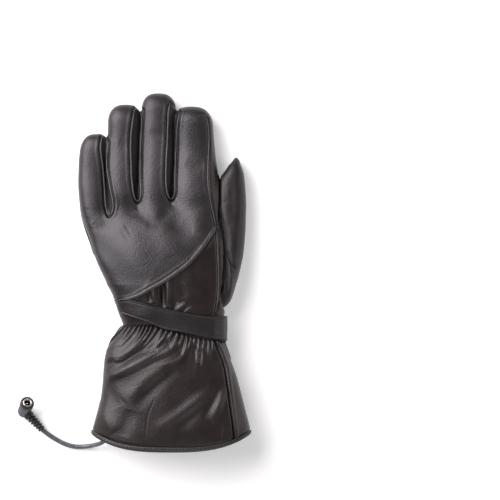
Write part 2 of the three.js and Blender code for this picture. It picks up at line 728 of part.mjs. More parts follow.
function strip(points, width) {
  const sidesOf = (sign) => points.map((p, i) => {
    const a = points[Math.max(i - 1, 0)];
    const b = points[Math.min(i + 1, points.length - 1)];
    const run = Math.hypot(b.x - a.x, b.y - a.y);
    return { x: p.x - (sign * width * (b.y - a.y)) / run / 2, y: p.y + (sign * width * (b.x - a.x)) / run / 2 };
  });
  return [...sidesOf(1), ...sidesOf(-1).reverse()];
}

const weltRun = welt.slice(1, -1);
const weltEnd = { x: lerp(wristSide(-1), knuckleSide(-1), 0.27), y: welt.at(-2).y };
const weltStrip = strip([...weltRun.slice(0, -1), weltEnd], weltWidth);
const topOnly = (wristBottom + wristTop) / 2 + 4;
const weltPiece = mainBody(handSkin(weltHeight).intersect(prism(weltStrip, topOnly, far)));

const padPieces = pads.map((corners) => {
  const plan = corners.map(onPalm);
  const centre = {
    x: plan.reduce((sum, p) => sum + p.x, 0) / plan.length,
    y: plan.reduce((sum, p) => sum + p.y, 0) / plan.length,
  };
  const cut = 0.1;
  const rounded = plan.flatMap((p, i) => {
    const before = plan.at(i - 1);
    const after = plan[(i + 1) % plan.length];
    return [
      { x: lerp(p.x, before.x, cut / 2), y: lerp(p.y, before.y, cut) },
      { x: lerp(p.x, centre.x, cut / 4), y: lerp(p.y, centre.y, cut / 4) },
      { x: lerp(p.x, after.x, cut / 2), y: lerp(p.y, after.y, cut) },
    ];
  });
  return mainBody(onFloor(padSkin.intersect(prism(rounded, -far, palmSeamAtWrist - 1))));
});

// Strap: across the back, round the thumb side and level over the palm to its rounded end
const acrossWrist = (share) => lerp(wristSide(-1), wristSide(1), share);
const strapPoint = (p) => ({ x: acrossWrist(p.x), y: wristY + p.y * strapWidth });
const strapBackPlan = [...strapTopEdge, ...strapBottomEdge].map(strapPoint);
const strapLevel = wristY - 10.4;
const strapEndX = acrossWrist(strapPalmEnd);
const strapPalmPlan = [
  strapPoint(strapTopEdge.at(-1)),
  { x: acrossWrist(0.78), y: strapLevel + strapWidth / 2 },
  ...[0.5, 0.62, 0.75, 0.87, 1, 1.13, 1.25, 1.38, 1.5].map((turn) => ({
    x: strapEndX + 0.25 * strapWidth * (1 + Math.sign(Math.cos(Math.PI * turn)) * Math.abs(Math.cos(Math.PI * turn)) ** 0.6),
    y: strapLevel + (strapWidth / 2) * Math.sign(Math.sin(Math.PI * turn)) * Math.abs(Math.sin(Math.PI * turn)) ** 0.6,
  })),
  { x: acrossWrist(0.78), y: strapLevel - strapWidth / 2 },
  strapPoint(strapBottomEdge[0]),
];
const patchLeft = wristSide(-1) - 3;
const patchPlan = (grow) => [
  { x: patchLeft - grow, y: strapLevel + 0.05 * strapWidth + grow },
  { x: patchLeft - grow, y: strapLevel + 0.05 * strapWidth - patchDepth - grow },
  { x: patchLeft + patchWidth + grow, y: strapLevel + 0.05 * strapWidth - patchDepth - grow },
  { x: patchLeft + patchWidth + grow, y: strapLevel + 0.05 * strapWidth + grow },
];
const patchRoom = trunk(patchHeight + gap).intersect(prism(patchPlan(gap), -far, strapTurn));
const strapSkin = trunk(strapSeat + strapThickness).subtract(trunk(strapSeat));
const strapField = prism(strapBackPlan, strapTurn, far)
  .intersect(belowWelt(weltWidth / 2 + gap))
  .add(prism(strapPalmPlan, -far, strapTurn + 0.5));
const wristStrap = mainBody(onFloor(strapSkin.intersect(strapField).subtract(patchRoom)));
const loopPatch = mainBody(
  onFloor(trunk(patchHeight).subtract(trunk(gap)).intersect(prism(patchPlan(0), -far, strapTurn - 3))),
);

// Pairing clip on its tab, under the little-finger edge of the wrist
const tabStart = { x: wristSide(-1) + 6, y: wristY + 4 };
const tabEnd = { x: wristSide(-1) - 5, y: wristY - 0.8 * strapWidth };
const tabPlan = strip([tabStart, { x: wristSide(-1) + 1, y: wristY - 7 }, tabEnd], tabWidth);
const tabSkin = trunk(tabHeight).subtract(trunk(gap));
const clipTab = mainBody(tabSkin.intersect(prism(tabPlan, -far, strapTurn)).subtract(patchRoom));

function clipShape() {
  const body = new THREE.Shape();
  body.moveTo(-clipWidth / 2, -clipLength / 2);
  body.lineTo(clipWidth / 2, -clipLength / 2);
  body.lineTo(clipWidth / 2, clipLength / 2);
  body.lineTo(-clipWidth / 2, clipLength / 2);
  [1, 0, -1].forEach((place) => {
    const y = place * clipLength * 0.36;
    const thick = clipLength * 0.1;
    body.lineTo(-clipWidth / 2, y + thick);
    body.lineTo(-clipWidth / 2 - prongLength, y + thick * 0.6);
    body.lineTo(-clipWidth / 2 - prongLength, y - thick * 0.6);
    body.lineTo(-clipWidth / 2, y - thick);
  });
  const geometry = new THREE.ExtrudeGeometry(body, {
    depth: clipThickness - 1,
    bevelEnabled: true,
    bevelThickness: 0.5,
    bevelSize: 0.4,
    bevelSegments: 1,
  });
  return geometry.translate(0, 0, 0.5 - clipThickness / 2);
}
const clipPlace = new THREE.Matrix4()
  .makeTranslation(tabEnd.x + 2.5, tabEnd.y + 3.5, 4.4)
  .multiply(new THREE.Matrix4().makeRotationZ(0.35));
const pairingClip = mainBody(
  solidFrom(clipShape().applyMatrix4(clipPlace)).subtract(trunk(tabHeight + gap)),
);

// Power lead
const route = new THREE.CatmullRomCurve3(cordRoute.map((p) => new THREE.Vector3(...p)));
const reliefStart = plugFoot.clone().addScaledVector(plugAxis, 3.6);
const cordEnd = new THREE.Vector3(...cordRoute.at(-1));
const reliefAxis = reliefStart.clone().sub(cordEnd).normalize();

function circle(radius, count, turn = 0) {
  const points = Array.from({ length: count }, (_, i) => {
    const angle = (2 * Math.PI * (i + turn)) / count;
    return new THREE.Vector2(radius * Math.cos(angle), radius * Math.sin(angle));
  });
  return new THREE.Shape(points);
}

function cordTube() {
  const steps = Math.round(route.getLength() / (cordDiameter * 1.6));
  return new THREE.ExtrudeGeometry(circle(cordDiameter / 2, 10, 0.5), {
    steps,
    bevelEnabled: false,
    extrudePath: route,
  });
}

// Stands a lathe's Y axis along a direction from a point
function standing(geometry, foot, axis) {
  const turn = new THREE.Quaternion().setFromUnitVectors(new THREE.Vector3(0, 1, 0), axis);
  return solidFrom(geometry.applyQuaternion(turn).translate(foot.x, foot.y, foot.z));
}

const lathe = (profile, segments) =>
  new THREE.LatheGeometry(profile.map(([radius, height]) => new THREE.Vector2(radius, height)), segments);

const plugRadius = plugDiameter / 2;
const collarRadius = plugCollarDiameter / 2;
const plugBody = standing(
  lathe([
    [0, -1.2],
    [plugRadius - 2.2, -1.2],
    [plugRadius - 0.7, -0.6],
    [plugRadius, 1],
    [plugRadius, plugLength - 9.5],
    [collarRadius, plugLength - 7.5],
    [collarRadius, plugLength - 1.2],
    [collarRadius - 1, plugLength],
    [0, plugLength],
  ], 16),
  plugFoot,
  plugAxis,
);
const reliefFoot = cordEnd.clone().addScaledVector(reliefAxis, gap);
const reliefLength = reliefStart.distanceTo(reliefFoot);
const ribLength = (reliefLength - plugRadius) / (reliefRibs + 0.8);
const reliefProfile = [[0, 0]];
for (let rib = 0; rib < reliefRibs; rib++) {
  const radius = lerp(reliefNarrow, reliefWide, rib / reliefRibs);
  const start = rib * ribLength;
  reliefProfile.push([radius, start], [radius, start + ribLength * 0.62]);
  reliefProfile.push([radius * 0.8, start + ribLength * 0.68], [radius * 0.8, start + ribLength * 0.96]);
}
reliefProfile.push([reliefWide, reliefRibs * ribLength], [reliefWide, reliefLength], [0, reliefLength]);
const relief = standing(lathe(reliefProfile, 10), reliefFoot, reliefAxis);
const plugFace = plugFoot.clone().addScaledVector(plugAxis, plugLength);
const ringSeat = plugFace.clone().addScaledVector(plugAxis, 0.5 - ringLength);
const boreFloor = ringSeat.clone().addScaledVector(plugAxis, -gap);
const bore = standing(
  lathe([[0, 0], [ringDiameter / 2 + gap, 0], [ringDiameter / 2 + gap, 2 * ringLength], [0, 2 * ringLength]], 16),
  boreFloor,
  plugAxis,
);
const pinHole = standing(
  lathe([[0, -2], [pinDiameter / 2 + gap, -2], [pinDiameter / 2 + gap, 2], [0, 2]], 12),
  boreFloor,
  plugAxis,
);
const plugHousing = onFloor(plugBody.add(relief)).subtract(bore).subtract(pinHole);
const socketRing = standing(
  lathe([
    [ringBore / 2, 0],
    [ringDiameter / 2, 0],
    [ringDiameter / 2, ringLength],
    [ringBore / 2, ringLength],
    [ringBore / 2, 0],
  ], 16),
  ringSeat,
  plugAxis,
);
const socketPin = standing(
  lathe([
    [0, -2 + gap],
    [pinDiameter / 2, -2 + gap],
    [pinDiameter / 2, ringLength - 3],
    [0, ringLength - 2],
  ], 12),
  boreFloor,
  plugAxis,
);

// The outlet: a sewn sleeve on the inside of the cuff that the cord comes out of
const cordStart = new THREE.Vector3(...cordRoute[0]);
const cordAway = route.getTangentAt(0).negate();
const outletFoot = cordStart.clone().addScaledVector(cordAway, gap);
const outletTurn = new THREE.Quaternion().setFromUnitVectors(new THREE.Vector3(1, 0, 0), cordAway);
const outletBlock = new THREE.BoxGeometry(outletLength, outletWidth, 2 * outletHeight)
  .translate(outletLength / 2, 0, cordDiameter * 0.35 - outletHeight / 2)
  .applyQuaternion(outletTurn)
  .translate(outletFoot.x, outletFoot.y, outletFoot.z);
const cordOutlet = mainBody(
  solidFrom(outletBlock).intersect(cuffForm(0, 1, -cuffWall - 0.6 * pleatDepth - gap, 28)),
);

// Assembly: the frame's origin is on the floor under the middle of the glove, its lead aside
const glovePieces = [
  ["back_panel", backPanel, leather],
  ["lower_back_panel", lowerBackPanel, lowerLeather],
  ["welt", weltPiece, leather],
  ["palm_panel", palmPanel, leather],
  ["touch_patch", touchPatch, suede],
  ...neighbours.map(({ name }, i) => [name, fourchettes[i], lowerLeather]),
  ["side_gusset", sideGusset, leather],
  ["thumb", thumb, leather],
  ...padPieces.map((pad, i) => [`palm_pad_${i + 1}`, pad, leather]),
  ["cuff_back", cuffBack, leather],
  ["cuff_palm", cuffPalm, leather],
  ["hem_binding", hemBinding, leather],
  ["wrist_strap", wristStrap, leather],
  ["loop_patch", loopPatch, loopCloth],
  ["clip_tab", clipTab, leather],
  ["pairing_clip", pairingClip, plastic],
  ["cord_outlet", cordOutlet, suede],
];
const leadPieces = [
  ["cord", onFloor(solidFrom(cordTube())), rubber],
  ["plug_housing", plugHousing, rubber],
  ["socket_ring", socketRing, nickel],
  ["socket_pin", socketPin, nickel],
];

const reach = new THREE.Box3();
glovePieces.forEach(([, solid]) => {
  const box = solid.boundingBox();
  reach.expandByPoint(new THREE.Vector3(...box.min));
  reach.expandByPoint(new THREE.Vector3(...box.max));
});
const glove = new THREE.Group();
[...glovePieces, ...leadPieces].forEach(([name, solid, look]) => {
  const mesh = new THREE.Mesh(geometryFrom(solid.simplify(fineness)), new THREE.MeshStandardMaterial(look));
  mesh.name = name;
  glove.add(mesh);
});
glove.position.set(-(reach.min.x + reach.max.x) / 2, -(reach.min.y + reach.max.y) / 2, -reach.min.z);

export default glove;
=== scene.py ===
"""A heated leather gauntlet glove for the left hand, lying palm down with its power lead beside the cuff.

The tables hold plan millimetres, as a glove maker's pattern does: x across from the little finger to the
thumb, y from the wrist to the fingertips. PLAN_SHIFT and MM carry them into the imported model's frame.
"""

import logging
import math
from dataclasses import dataclass, field
from enum import Enum
from functools import partial
from typing import Callable, Dict, List, Optional, Sequence, Tuple

import bmesh
import bpy
import numpy as np
from mathutils import Matrix, Vector
from mathutils.bvhtree import BVHTree


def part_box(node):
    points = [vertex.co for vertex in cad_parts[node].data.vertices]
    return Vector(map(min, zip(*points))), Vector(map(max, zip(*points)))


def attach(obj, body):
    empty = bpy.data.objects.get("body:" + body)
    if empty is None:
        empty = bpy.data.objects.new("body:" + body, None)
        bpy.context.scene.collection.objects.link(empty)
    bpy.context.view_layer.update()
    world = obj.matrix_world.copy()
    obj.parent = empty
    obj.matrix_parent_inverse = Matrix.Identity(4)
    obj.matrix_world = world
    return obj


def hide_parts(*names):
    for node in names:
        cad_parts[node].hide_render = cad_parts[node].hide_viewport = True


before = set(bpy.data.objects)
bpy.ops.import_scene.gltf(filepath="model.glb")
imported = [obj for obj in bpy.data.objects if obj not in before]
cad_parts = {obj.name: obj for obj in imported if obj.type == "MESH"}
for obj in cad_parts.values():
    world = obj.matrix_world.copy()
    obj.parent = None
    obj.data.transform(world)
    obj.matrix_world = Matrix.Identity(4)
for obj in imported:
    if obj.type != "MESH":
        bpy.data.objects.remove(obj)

LOG = logging.getLogger("glove")
MM = 0.001
PLAN_SHIFT = np.array([-0.801, 0.435, 0.0])
BODY = "root"
# How square the rounded sections are, in their upper and lower half
FLAT, LOWER_FLAT = 2.5, 3.0
WRIST_Y, WRIST_MIDDLE = -57.4, 8.4
WRIST_SIDES, WRIST_HEIGHTS = (-38.2, 55.0), (4.5, 42.0)
# Numbers of the colour sockets on a Mix node
MIX_SHARE, MIX_LOW, MIX_HIGH, MIX_COLOUR = 0, 6, 7, 2
Array = np.ndarray
BMesh = bmesh.types.BMesh
Plan = Tuple[float, float]
Pair = Tuple[float, float]
Triple = Tuple[float, float, float]
Line = Sequence[Plan]
Look = bpy.types.Material
Mask = Callable[[Callable[[str], Array], Array], Array]
Drop = Callable[[Array, int], Array]


class Side(Enum):
    """Which face of the glove a line or a patch is on."""

    BACK = "back"
    PALM = "palm"


# Reading tables and lines


def wave(at: "float | Array", times: float, shift: float = 0.0) -> "float | Array":
    """A sine wave that repeats a number of times from 0 to 1."""
    return np.sin(2 * math.pi * times * at + shift)


def smooth_read(stops: Sequence[float], values: Sequence[float], at: Array) -> Array:
    """Reads one column of a table through a smooth curve.

    Args:
        stops: Where the rows stand, in rising order.
        values: The column's values at those rows.
        at: Where to read.

    Returns:
        The values there.
    """
    s = np.asarray(stops, float)
    v = np.asarray(values, float)
    slope = np.gradient(v, s)
    slope[1:-1] = (v[2:] - v[:-2]) / (s[2:] - s[:-2])
    at = np.asarray(at, float)
    k = np.clip(np.searchsorted(s, at), 1, len(s) - 1)
    span = s[k] - s[k - 1]
    t = np.clip((at - s[k - 1]) / span, 0, 1)
    ease = t * t * (3 - 2 * t)
    bend = span * (t * (1 - t) ** 2 * slope[k - 1] + t * t * (t - 1) * slope[k])
    return v[k - 1] * (1 - ease) + v[k] * ease + bend


def smoothstep(value: Array, low: float, high: float) -> Array:
    """Eases from 0 at low to 1 at high."""
    t = np.clip((np.asarray(value, float) - low) / (high - low), 0, 1)
    return t * t * (3 - 2 * t)


def bell(value: Array, width: float) -> Array:
    """A soft bump of height 1 at zero."""
    return np.exp(-((np.asarray(value, float) / width) ** 2))


def run_of(points: Array) -> Array:
    """How far along a line each of its points is."""
    return np.concatenate([[0], np.cumsum(np.linalg.norm(np.diff(points, axis=0), axis=1))])


def read_line(points: Array, run: Array, at: "float | Array") -> Array:
    """A line's places, or its normals, at some distances along it."""
    return np.stack([np.interp(at, run, column) for column in points.T], axis=-1)


def unit(vectors: Array) -> Array:
    """The same directions, each of length one."""
    return vectors / np.linalg.norm(vectors, axis=1)[:, None]


def eased(line: Array, times: int) -> Array:
    """A line whose inner points are evened out a number of times."""
    line = line.copy()
    for _ in range(times):
        line[1:-1] = 0.5 * line[1:-1] + 0.25 * (line[:-2] + line[2:])
    return line


def read_table(rows: Sequence[Sequence[float]], at: Array) -> List[Array]:
    """Reads every column of a table but its first, which says where the rows stand."""
    stops, *columns = (np.array(column, float) for column in zip(*rows))
    return [smooth_read(stops, column, at) for column in columns]


def rounded_square(angles: Array) -> Tuple[Array, Array]:
    """Across and up, from -1 to 1, round a rounded square that is squarer in its lower half."""
    c, s = np.cos(angles), np.sin(angles)
    power = 2 / np.where(s < 0, LOWER_FLAT, FLAT)
    return np.sign(c) * np.abs(c) ** power, np.sign(s) * np.abs(s) ** power


def smooth_line(points: Sequence[Sequence[float]], step: float = 1.5) -> Array:
    """Runs a curve through a few points.

    Args:
        points: The points, in two or three dimensions.
        step: How far apart the returned points are.

    Returns:
        Evenly spaced points on the curve.
    """
    p = np.asarray(points, float)
    q = np.vstack([2 * p[:1] - p[1:2], p, 2 * p[-1:] - p[-2:-1]])
    fine = []
    for a, b, c, d in zip(q[:-3], q[1:-2], q[2:-1], q[3:]):
        knots = [0.0]
        for e, f in ((a, b), (b, c), (c, d)):
            knots.append(knots[-1] + max(np.linalg.norm(f - e), 1e-6) ** 0.5)
        t = np.linspace(knots[1], knots[2], 24, endpoint=False)[:, None]
        u = [(knots[i + 1] - t) / (knots[i + 1] - knots[i]) for i in range(3)]
        ab, bc, cd = (w * e + (1 - w) * f for w, e, f in zip(u, (a, b, c), (b, c, d)))
        w1 = (knots[2] - t) / (knots[2] - knots[0])
        w2 = (knots[3] - t) / (knots[3] - knots[1])
        abc, bcd = w1 * ab + (1 - w1) * bc, w2 * bc + (1 - w2) * cd
        fine.append(u[1] * abc + (1 - u[1]) * bcd)
    fine.append(q[-2:-1])
    curve = np.vstack(fine)
    run = run_of(curve)
    count = max(int(round(run[-1] / step)), 2)
    at = np.linspace(0, run[-1], count + 1)
    return read_line(curve, run, at)


def beside_line(places: Array, line: Array) -> Tuple[Array, Array]:
    """Measures plan places against an open line.

    Args:
        places: Places, of which x and y are used.
        line: The line's points.

    Returns:
        The signed distance, positive on the right of the line's direction, and the share of the way along it.
    """
    x, y = np.ascontiguousarray(places[:, 0]), np.ascontiguousarray(places[:, 1])
    best = np.full(len(x), np.inf)
    turned = np.zeros(len(x))
    share = np.zeros(len(x))
    total = len(line) - 1
    for i, (a, b) in enumerate(zip(line[:-1], line[1:])):
        rx, ry = b[0] - a[0], b[1] - a[1]
        ox, oy = x - a[0], y - a[1]
        t = np.clip((ox * rx + oy * ry) / max(rx * rx + ry * ry, 1e-9), 0, 1)
        distance = (ox - t * rx) ** 2 + (oy - t * ry) ** 2
        near = distance < best
        best[near] = distance[near]
        turned[near] = (ox[near] * ry) - (oy[near] * rx)
        share[near] = (i + t[near]) / total
    return np.where(turned < 0, -1.0, 1.0) * np.sqrt(best), share


def near_line(places: Array, line: Array, reach: float) -> Tuple[Array, Array]:
    """Measures places against a line, but only those close to it.

    Args:
        places: Places, of which x and y are used.
        line: The line's points.
        reach: How far from the line's own box is still close.

    Returns:
        The distance, which is large away from the line, and the share of the way along it.
    """
    low, high = line.min(axis=0) - reach, line.max(axis=0) + reach
    close = np.all((places[:, :2] > low) & (places[:, :2] < high), axis=1)
    distance = np.full(len(places), 1e3)
    share = np.zeros(len(places))
    if close.any():
        distance[close], share[close] = beside_line(places[close], line)
    return distance, share


def inside_outline(places: Array, outline: Array, reach: float = 8.0) -> Array:
    """Measures plan places against a closed outline.

    Args:
        places: Places, of which x and y are used.
        outline: The outline's points.
        reach: How far outside the outline's box places are still measured.

    Returns:
        The signed distance, positive inside, and minus the reach for places that aren't measured.
    """
    ring = np.vstack([outline, outline[:1]])
    low, high = ring.min(axis=0) - reach, ring.max(axis=0) + reach
    close = np.all((places[:, :2] > low) & (places[:, :2] < high), axis=1)
    result = np.full(len(places), -reach)
    if not close.any():
        return result
    part = places[close]
    distance = np.abs(beside_line(part, ring)[0])
    inside = np.zeros(len(part), bool)
    x, y = part[:, 0], part[:, 1]
    for a, b in zip(ring[:-1], ring[1:]):
        crosses = (a[1] > y) != (b[1] > y)
        edge = a[0] + (y - a[1]) * (b[0] - a[0]) / (b[1] - a[1] if b[1] != a[1] else 1e-9)
        inside ^= crosses & (x < edge)
    result[close] = np.where(inside, distance, -distance)
    return result


def ripple(places: Array, size: float, seed: int) -> Array:
    """Slow uneven waves of a height of about one, the same on every run."""
    turns = np.random.default_rng(seed)
    total = np.zeros(len(places))
    for _ in range(7):
        way = turns.normal(size=3)
        way /= np.linalg.norm(way) * size * turns.uniform(0.6, 1.6)
        total += np.sin(2 * math.pi * places @ way + turns.uniform(0, 2 * math.pi))
    return total / 4


# Meshes


def loft(rings: Sequence[Array], capped: bool = True) -> BMesh:
    """Makes a tube through rings of points: a grid laid on them and welded.

    Args:
        rings: Rings of plan points, all with the same count.
        capped: Whether the two ends are filled.

    Returns:
        The mesh, in plan millimetres.
    """
    points = np.asarray(rings, float)
    rows, columns = points.shape[:2]
    bm = bmesh.new()
    layer = bm.verts.layers.int.new("point")
    bmesh.ops.create_grid(bm, x_segments=columns, y_segments=rows - 1, size=1)
    for vert in bm.verts:
        i = round((vert.co.x + 1) / 2 * columns) % columns
        j = round((vert.co.y + 1) / 2 * (rows - 1))
        vert.co = points[j, i]
        vert[layer] = j * columns + i
    bmesh.ops.remove_doubles(bm, verts=bm.verts, dist=1e-5)
    if capped:
        open_edges = [edge for edge in bm.edges if edge.is_boundary]
        bmesh.ops.holes_fill(bm, edges=open_edges, sides=0)
    bmesh.ops.recalc_face_normals(bm, faces=bm.faces)
    return bm


def welded(bm: BMesh, apart: float) -> None:
    """Merges vertices that are no further apart than this and turns the faces outwards."""
    bmesh.ops.remove_doubles(bm, verts=bm.verts, dist=apart)
    bmesh.ops.recalc_face_normals(bm, faces=bm.faces)


def joined(into: BMesh, part: BMesh) -> None:
    """Adds one mesh to another and frees it."""
    scratch = bpy.data.meshes.new("part")
    part.to_mesh(scratch)
    part.free()
    into.from_mesh(scratch)
    bpy.data.meshes.remove(scratch)


def into_frame(bm: BMesh) -> None:
    """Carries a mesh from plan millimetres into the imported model's frame."""
    bmesh.ops.translate(bm, verts=bm.verts, vec=Vector(PLAN_SHIFT))
    bmesh.ops.scale(bm, verts=bm.verts, vec=Vector((MM, MM, MM)))


def to_frame(places: Array) -> Array:
    """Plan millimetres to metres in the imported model's frame."""
    return (np.asarray(places, float) + PLAN_SHIFT) * MM


def to_plan(places: Array) -> Array:
    """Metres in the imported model's frame to plan millimetres."""
    return places / MM - PLAN_SHIFT


def vectors_of(items: bpy.types.bpy_prop_collection, name: str) -> Array:
    """One vector of each vertex or face of a mesh."""
    flat = np.zeros(len(items) * 3, np.float32)
    items.foreach_get(name, flat)
    return flat.reshape(-1, 3)


def vert_places(bm: BMesh) -> Array:
    """The vertices of a mesh that is already in the frame, in plan millimetres."""
    return to_plan(np.array([vert.co[:] for vert in bm.verts]))


def linked(name: str, data: bpy.types.ID) -> bpy.types.Object:
    """A new object in the scene, at the origin."""
    made = bpy.data.objects.new(name, data)
    bpy.context.scene.collection.objects.link(made)
    return made


def new_object(name: str, bm: BMesh, smooth: bool = True) -> bpy.types.Object:
    """Puts a finished mesh, already in the frame, on a new object at the origin."""
    mesh = bpy.data.meshes.new(name)
    bm.to_mesh(mesh)
    bm.free()
    mesh.polygons.foreach_set("use_smooth", [smooth] * len(mesh.polygons))
    return linked(name, mesh)


def set_places(mesh: bpy.types.Mesh, places: Array) -> None:
    """Moves a mesh's vertices to plan places."""
    mesh.vertices.foreach_set("co", to_frame(places).astype(np.float32).ravel())
    mesh.update()


def set_attribute(mesh: bpy.types.Mesh, name: str, values: Array) -> None:
    """Stores one number per vertex for the shaders."""
    layer = mesh.attributes.new(name, "FLOAT", "POINT")
    layer.data.foreach_set("value", np.asarray(values, np.float32))


def thickened(piece: bpy.types.Object, thickness: float) -> None:
    """Gives a sheet its wall inwards, in millimetres, with the second material on its inner face."""
    wall = piece.modifiers.new("wall", "SOLIDIFY")
    wall.thickness = thickness * MM
    wall.offset = -1
    wall.material_offset = 1


def finished(piece: bpy.types.Object, materials: Sequence[Look], slot: str, *nodes: str) -> None:
    """Dresses a piece, ties it to the glove's body and hides the CAD nodes that it takes the place of."""
    for material in materials:
        piece.data.materials.append(material)
    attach(piece, BODY)
    if nodes:
        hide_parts(*nodes)
    LOG.info("%s: %d faces", piece.name, len(getattr(piece.data, "polygons", ())))


def placed(name: str, bm: BMesh, material: Look, slot: str, *nodes: str) -> None:
    """Makes a finished piece of one material from a mesh that is still in plan millimetres."""
    into_frame(bm)
    finished(new_object(name, bm), (material,), slot, *nodes)


# Shaders


class Value:
    """A shader socket that takes part in Python expressions."""

    def __init__(self, tree: "Tree", socket: bpy.types.NodeSocket) -> None:
        """Wraps one output socket of a tree."""
        self.tree = tree
        self.socket = socket

    def _math(self, operation: str, first: "Value | float", second: "Value | float") -> "Value":
        """Adds one Math node."""
        return self.tree.node("ShaderNodeMath", {"operation": operation}, {0: first, 1: second})

    def __add__(self, other: "Value | float") -> "Value":
        """Sum."""
        return self._math("ADD", self, other)

    __radd__ = __add__

    def __sub__(self, other: "Value | float") -> "Value":
        """Difference."""
        return self._math("SUBTRACT", self, other)

    def __rsub__(self, other: float) -> "Value":
        """Reflected difference."""
        return self._math("SUBTRACT", other, self)

    def __mul__(self, other: "Value | float") -> "Value":
        """Product."""
        return self._math("MULTIPLY", self, other)

    __rmul__ = __mul__

    def smoothstep(self, low: float, high: float) -> "Value":
        """Eases from 0 at low to 1 at high."""
        settings = {"interpolation_type": "SMOOTHSTEP"}
        inputs = {"Value": self, "From Min": low, "From Max": high, "To Min": 0.0, "To Max": 1.0}
        return self.tree.node("ShaderNodeMapRange", settings, inputs)


class Tree:
    """A material's nodes, ending in one Principled shader."""

    def __init__(self, name: str) -> None:
        """Starts an empty material."""
        self.material = bpy.data.materials.new(name)
        self.material.use_nodes = True
        self.nodes = self.material.node_tree.nodes
        self.links = self.material.node_tree.links
        self.nodes.clear()

    def node(self, kind: str, settings: Dict, inputs: Dict, output: int | str = 0) -> Value:
        """Adds a node.

        Args:
            kind: The node's type.
            settings: Its own settings, set first.
            inputs: Values or links for its sockets, by name or number.
            output: Which output is wanted.

        Returns:
            That output.
        """
        made = self.nodes.new(kind)
        for key, value in settings.items():
            setattr(made, key, value)
        for key, value in inputs.items():
            socket = made.inputs[key]
            if isinstance(value, Value):
                self.links.new(value.socket, socket)
            else:
                socket.default_value = value
        return Value(self, made.outputs[output])

    def place(self) -> Value:
        """The object coordinates, in metres."""
        return self.node("ShaderNodeTexCoord", {}, {}, "Object")

    def stretched(self, scale: Sequence[float], turn: Sequence[float] = (0, 0, 0)) -> Value:
        """The object coordinates, scaled and turned."""
        inputs = {"Vector": self.place(), "Scale": tuple(scale), "Rotation": tuple(turn)}
        return self.node("ShaderNodeMapping", {}, inputs)

    def attribute(self, name: str) -> Value:
        """A number stored on the mesh."""
        return self.node("ShaderNodeAttribute", {"attribute_name": name}, {}, "Fac")

    def noise(self, scale: float, detail: float, rough: float = 0.5, at: Optional[Value] = None) -> Value:
        """Soft noise from 0 to 1."""
        inputs = {"Vector": at or self.place(), "Scale": scale, "Detail": detail, "Roughness": rough}
        return self.node("ShaderNodeTexNoise", {}, inputs, "Fac")

    def cells(self, scale: float, at: Optional[Value] = None, feature: str = "SMOOTH_F1") -> Value:
        """Distance to the nearest of scattered points, as in a grain's pebbles."""
        inputs = {"Vector": at or self.place(), "Scale": scale, "Randomness": 0.95}
        return self.node("ShaderNodeTexVoronoi", {"feature": feature}, inputs, "Distance")

    def mix(self, share: Value, low: Sequence[float], high: Sequence[float]) -> Value:
        """Mixes two colours."""
        inputs = {MIX_SHARE: share, MIX_LOW: (*low, 1.0), MIX_HIGH: (*high, 1.0)}
        return self.node("ShaderNodeMix", {"data_type": "RGBA"}, inputs, MIX_COLOUR)

    def blend(self, kind: str, below: Value, above: Value) -> Value:
        """Adds two colours, or multiplies them."""
        settings = {"data_type": "RGBA", "blend_type": kind}
        inputs = {MIX_SHARE: 1.0, MIX_LOW: below, MIX_HIGH: above}
        return self.node("ShaderNodeMix", settings, inputs, MIX_COLOUR)

    def bump(self, height: Value, depth: float, strength: float, under: Optional[Value] = None) -> Value:
        """Turns a height from 0 to 1 into a normal; depth is in metres."""
        inputs: Dict = {"Height": height, "Distance": depth, "Strength": strength}
        if under is not None:
            inputs["Normal"] = under
        return self.node("ShaderNodeBump", {}, inputs, "Normal")

    def finish(self, **inputs: "Value | float | Sequence[float]") -> Look:
        """Ends the material in its shader; an underscore in a name stands for a space."""
        named = {key.replace("_", " "): value for key, value in inputs.items()}
        shader = self.node("ShaderNodeBsdfPrincipled", {}, named, "BSDF")
        out = self.nodes.new("ShaderNodeOutputMaterial")
        self.links.new(shader.socket, out.inputs["Surface"])
        return self.material


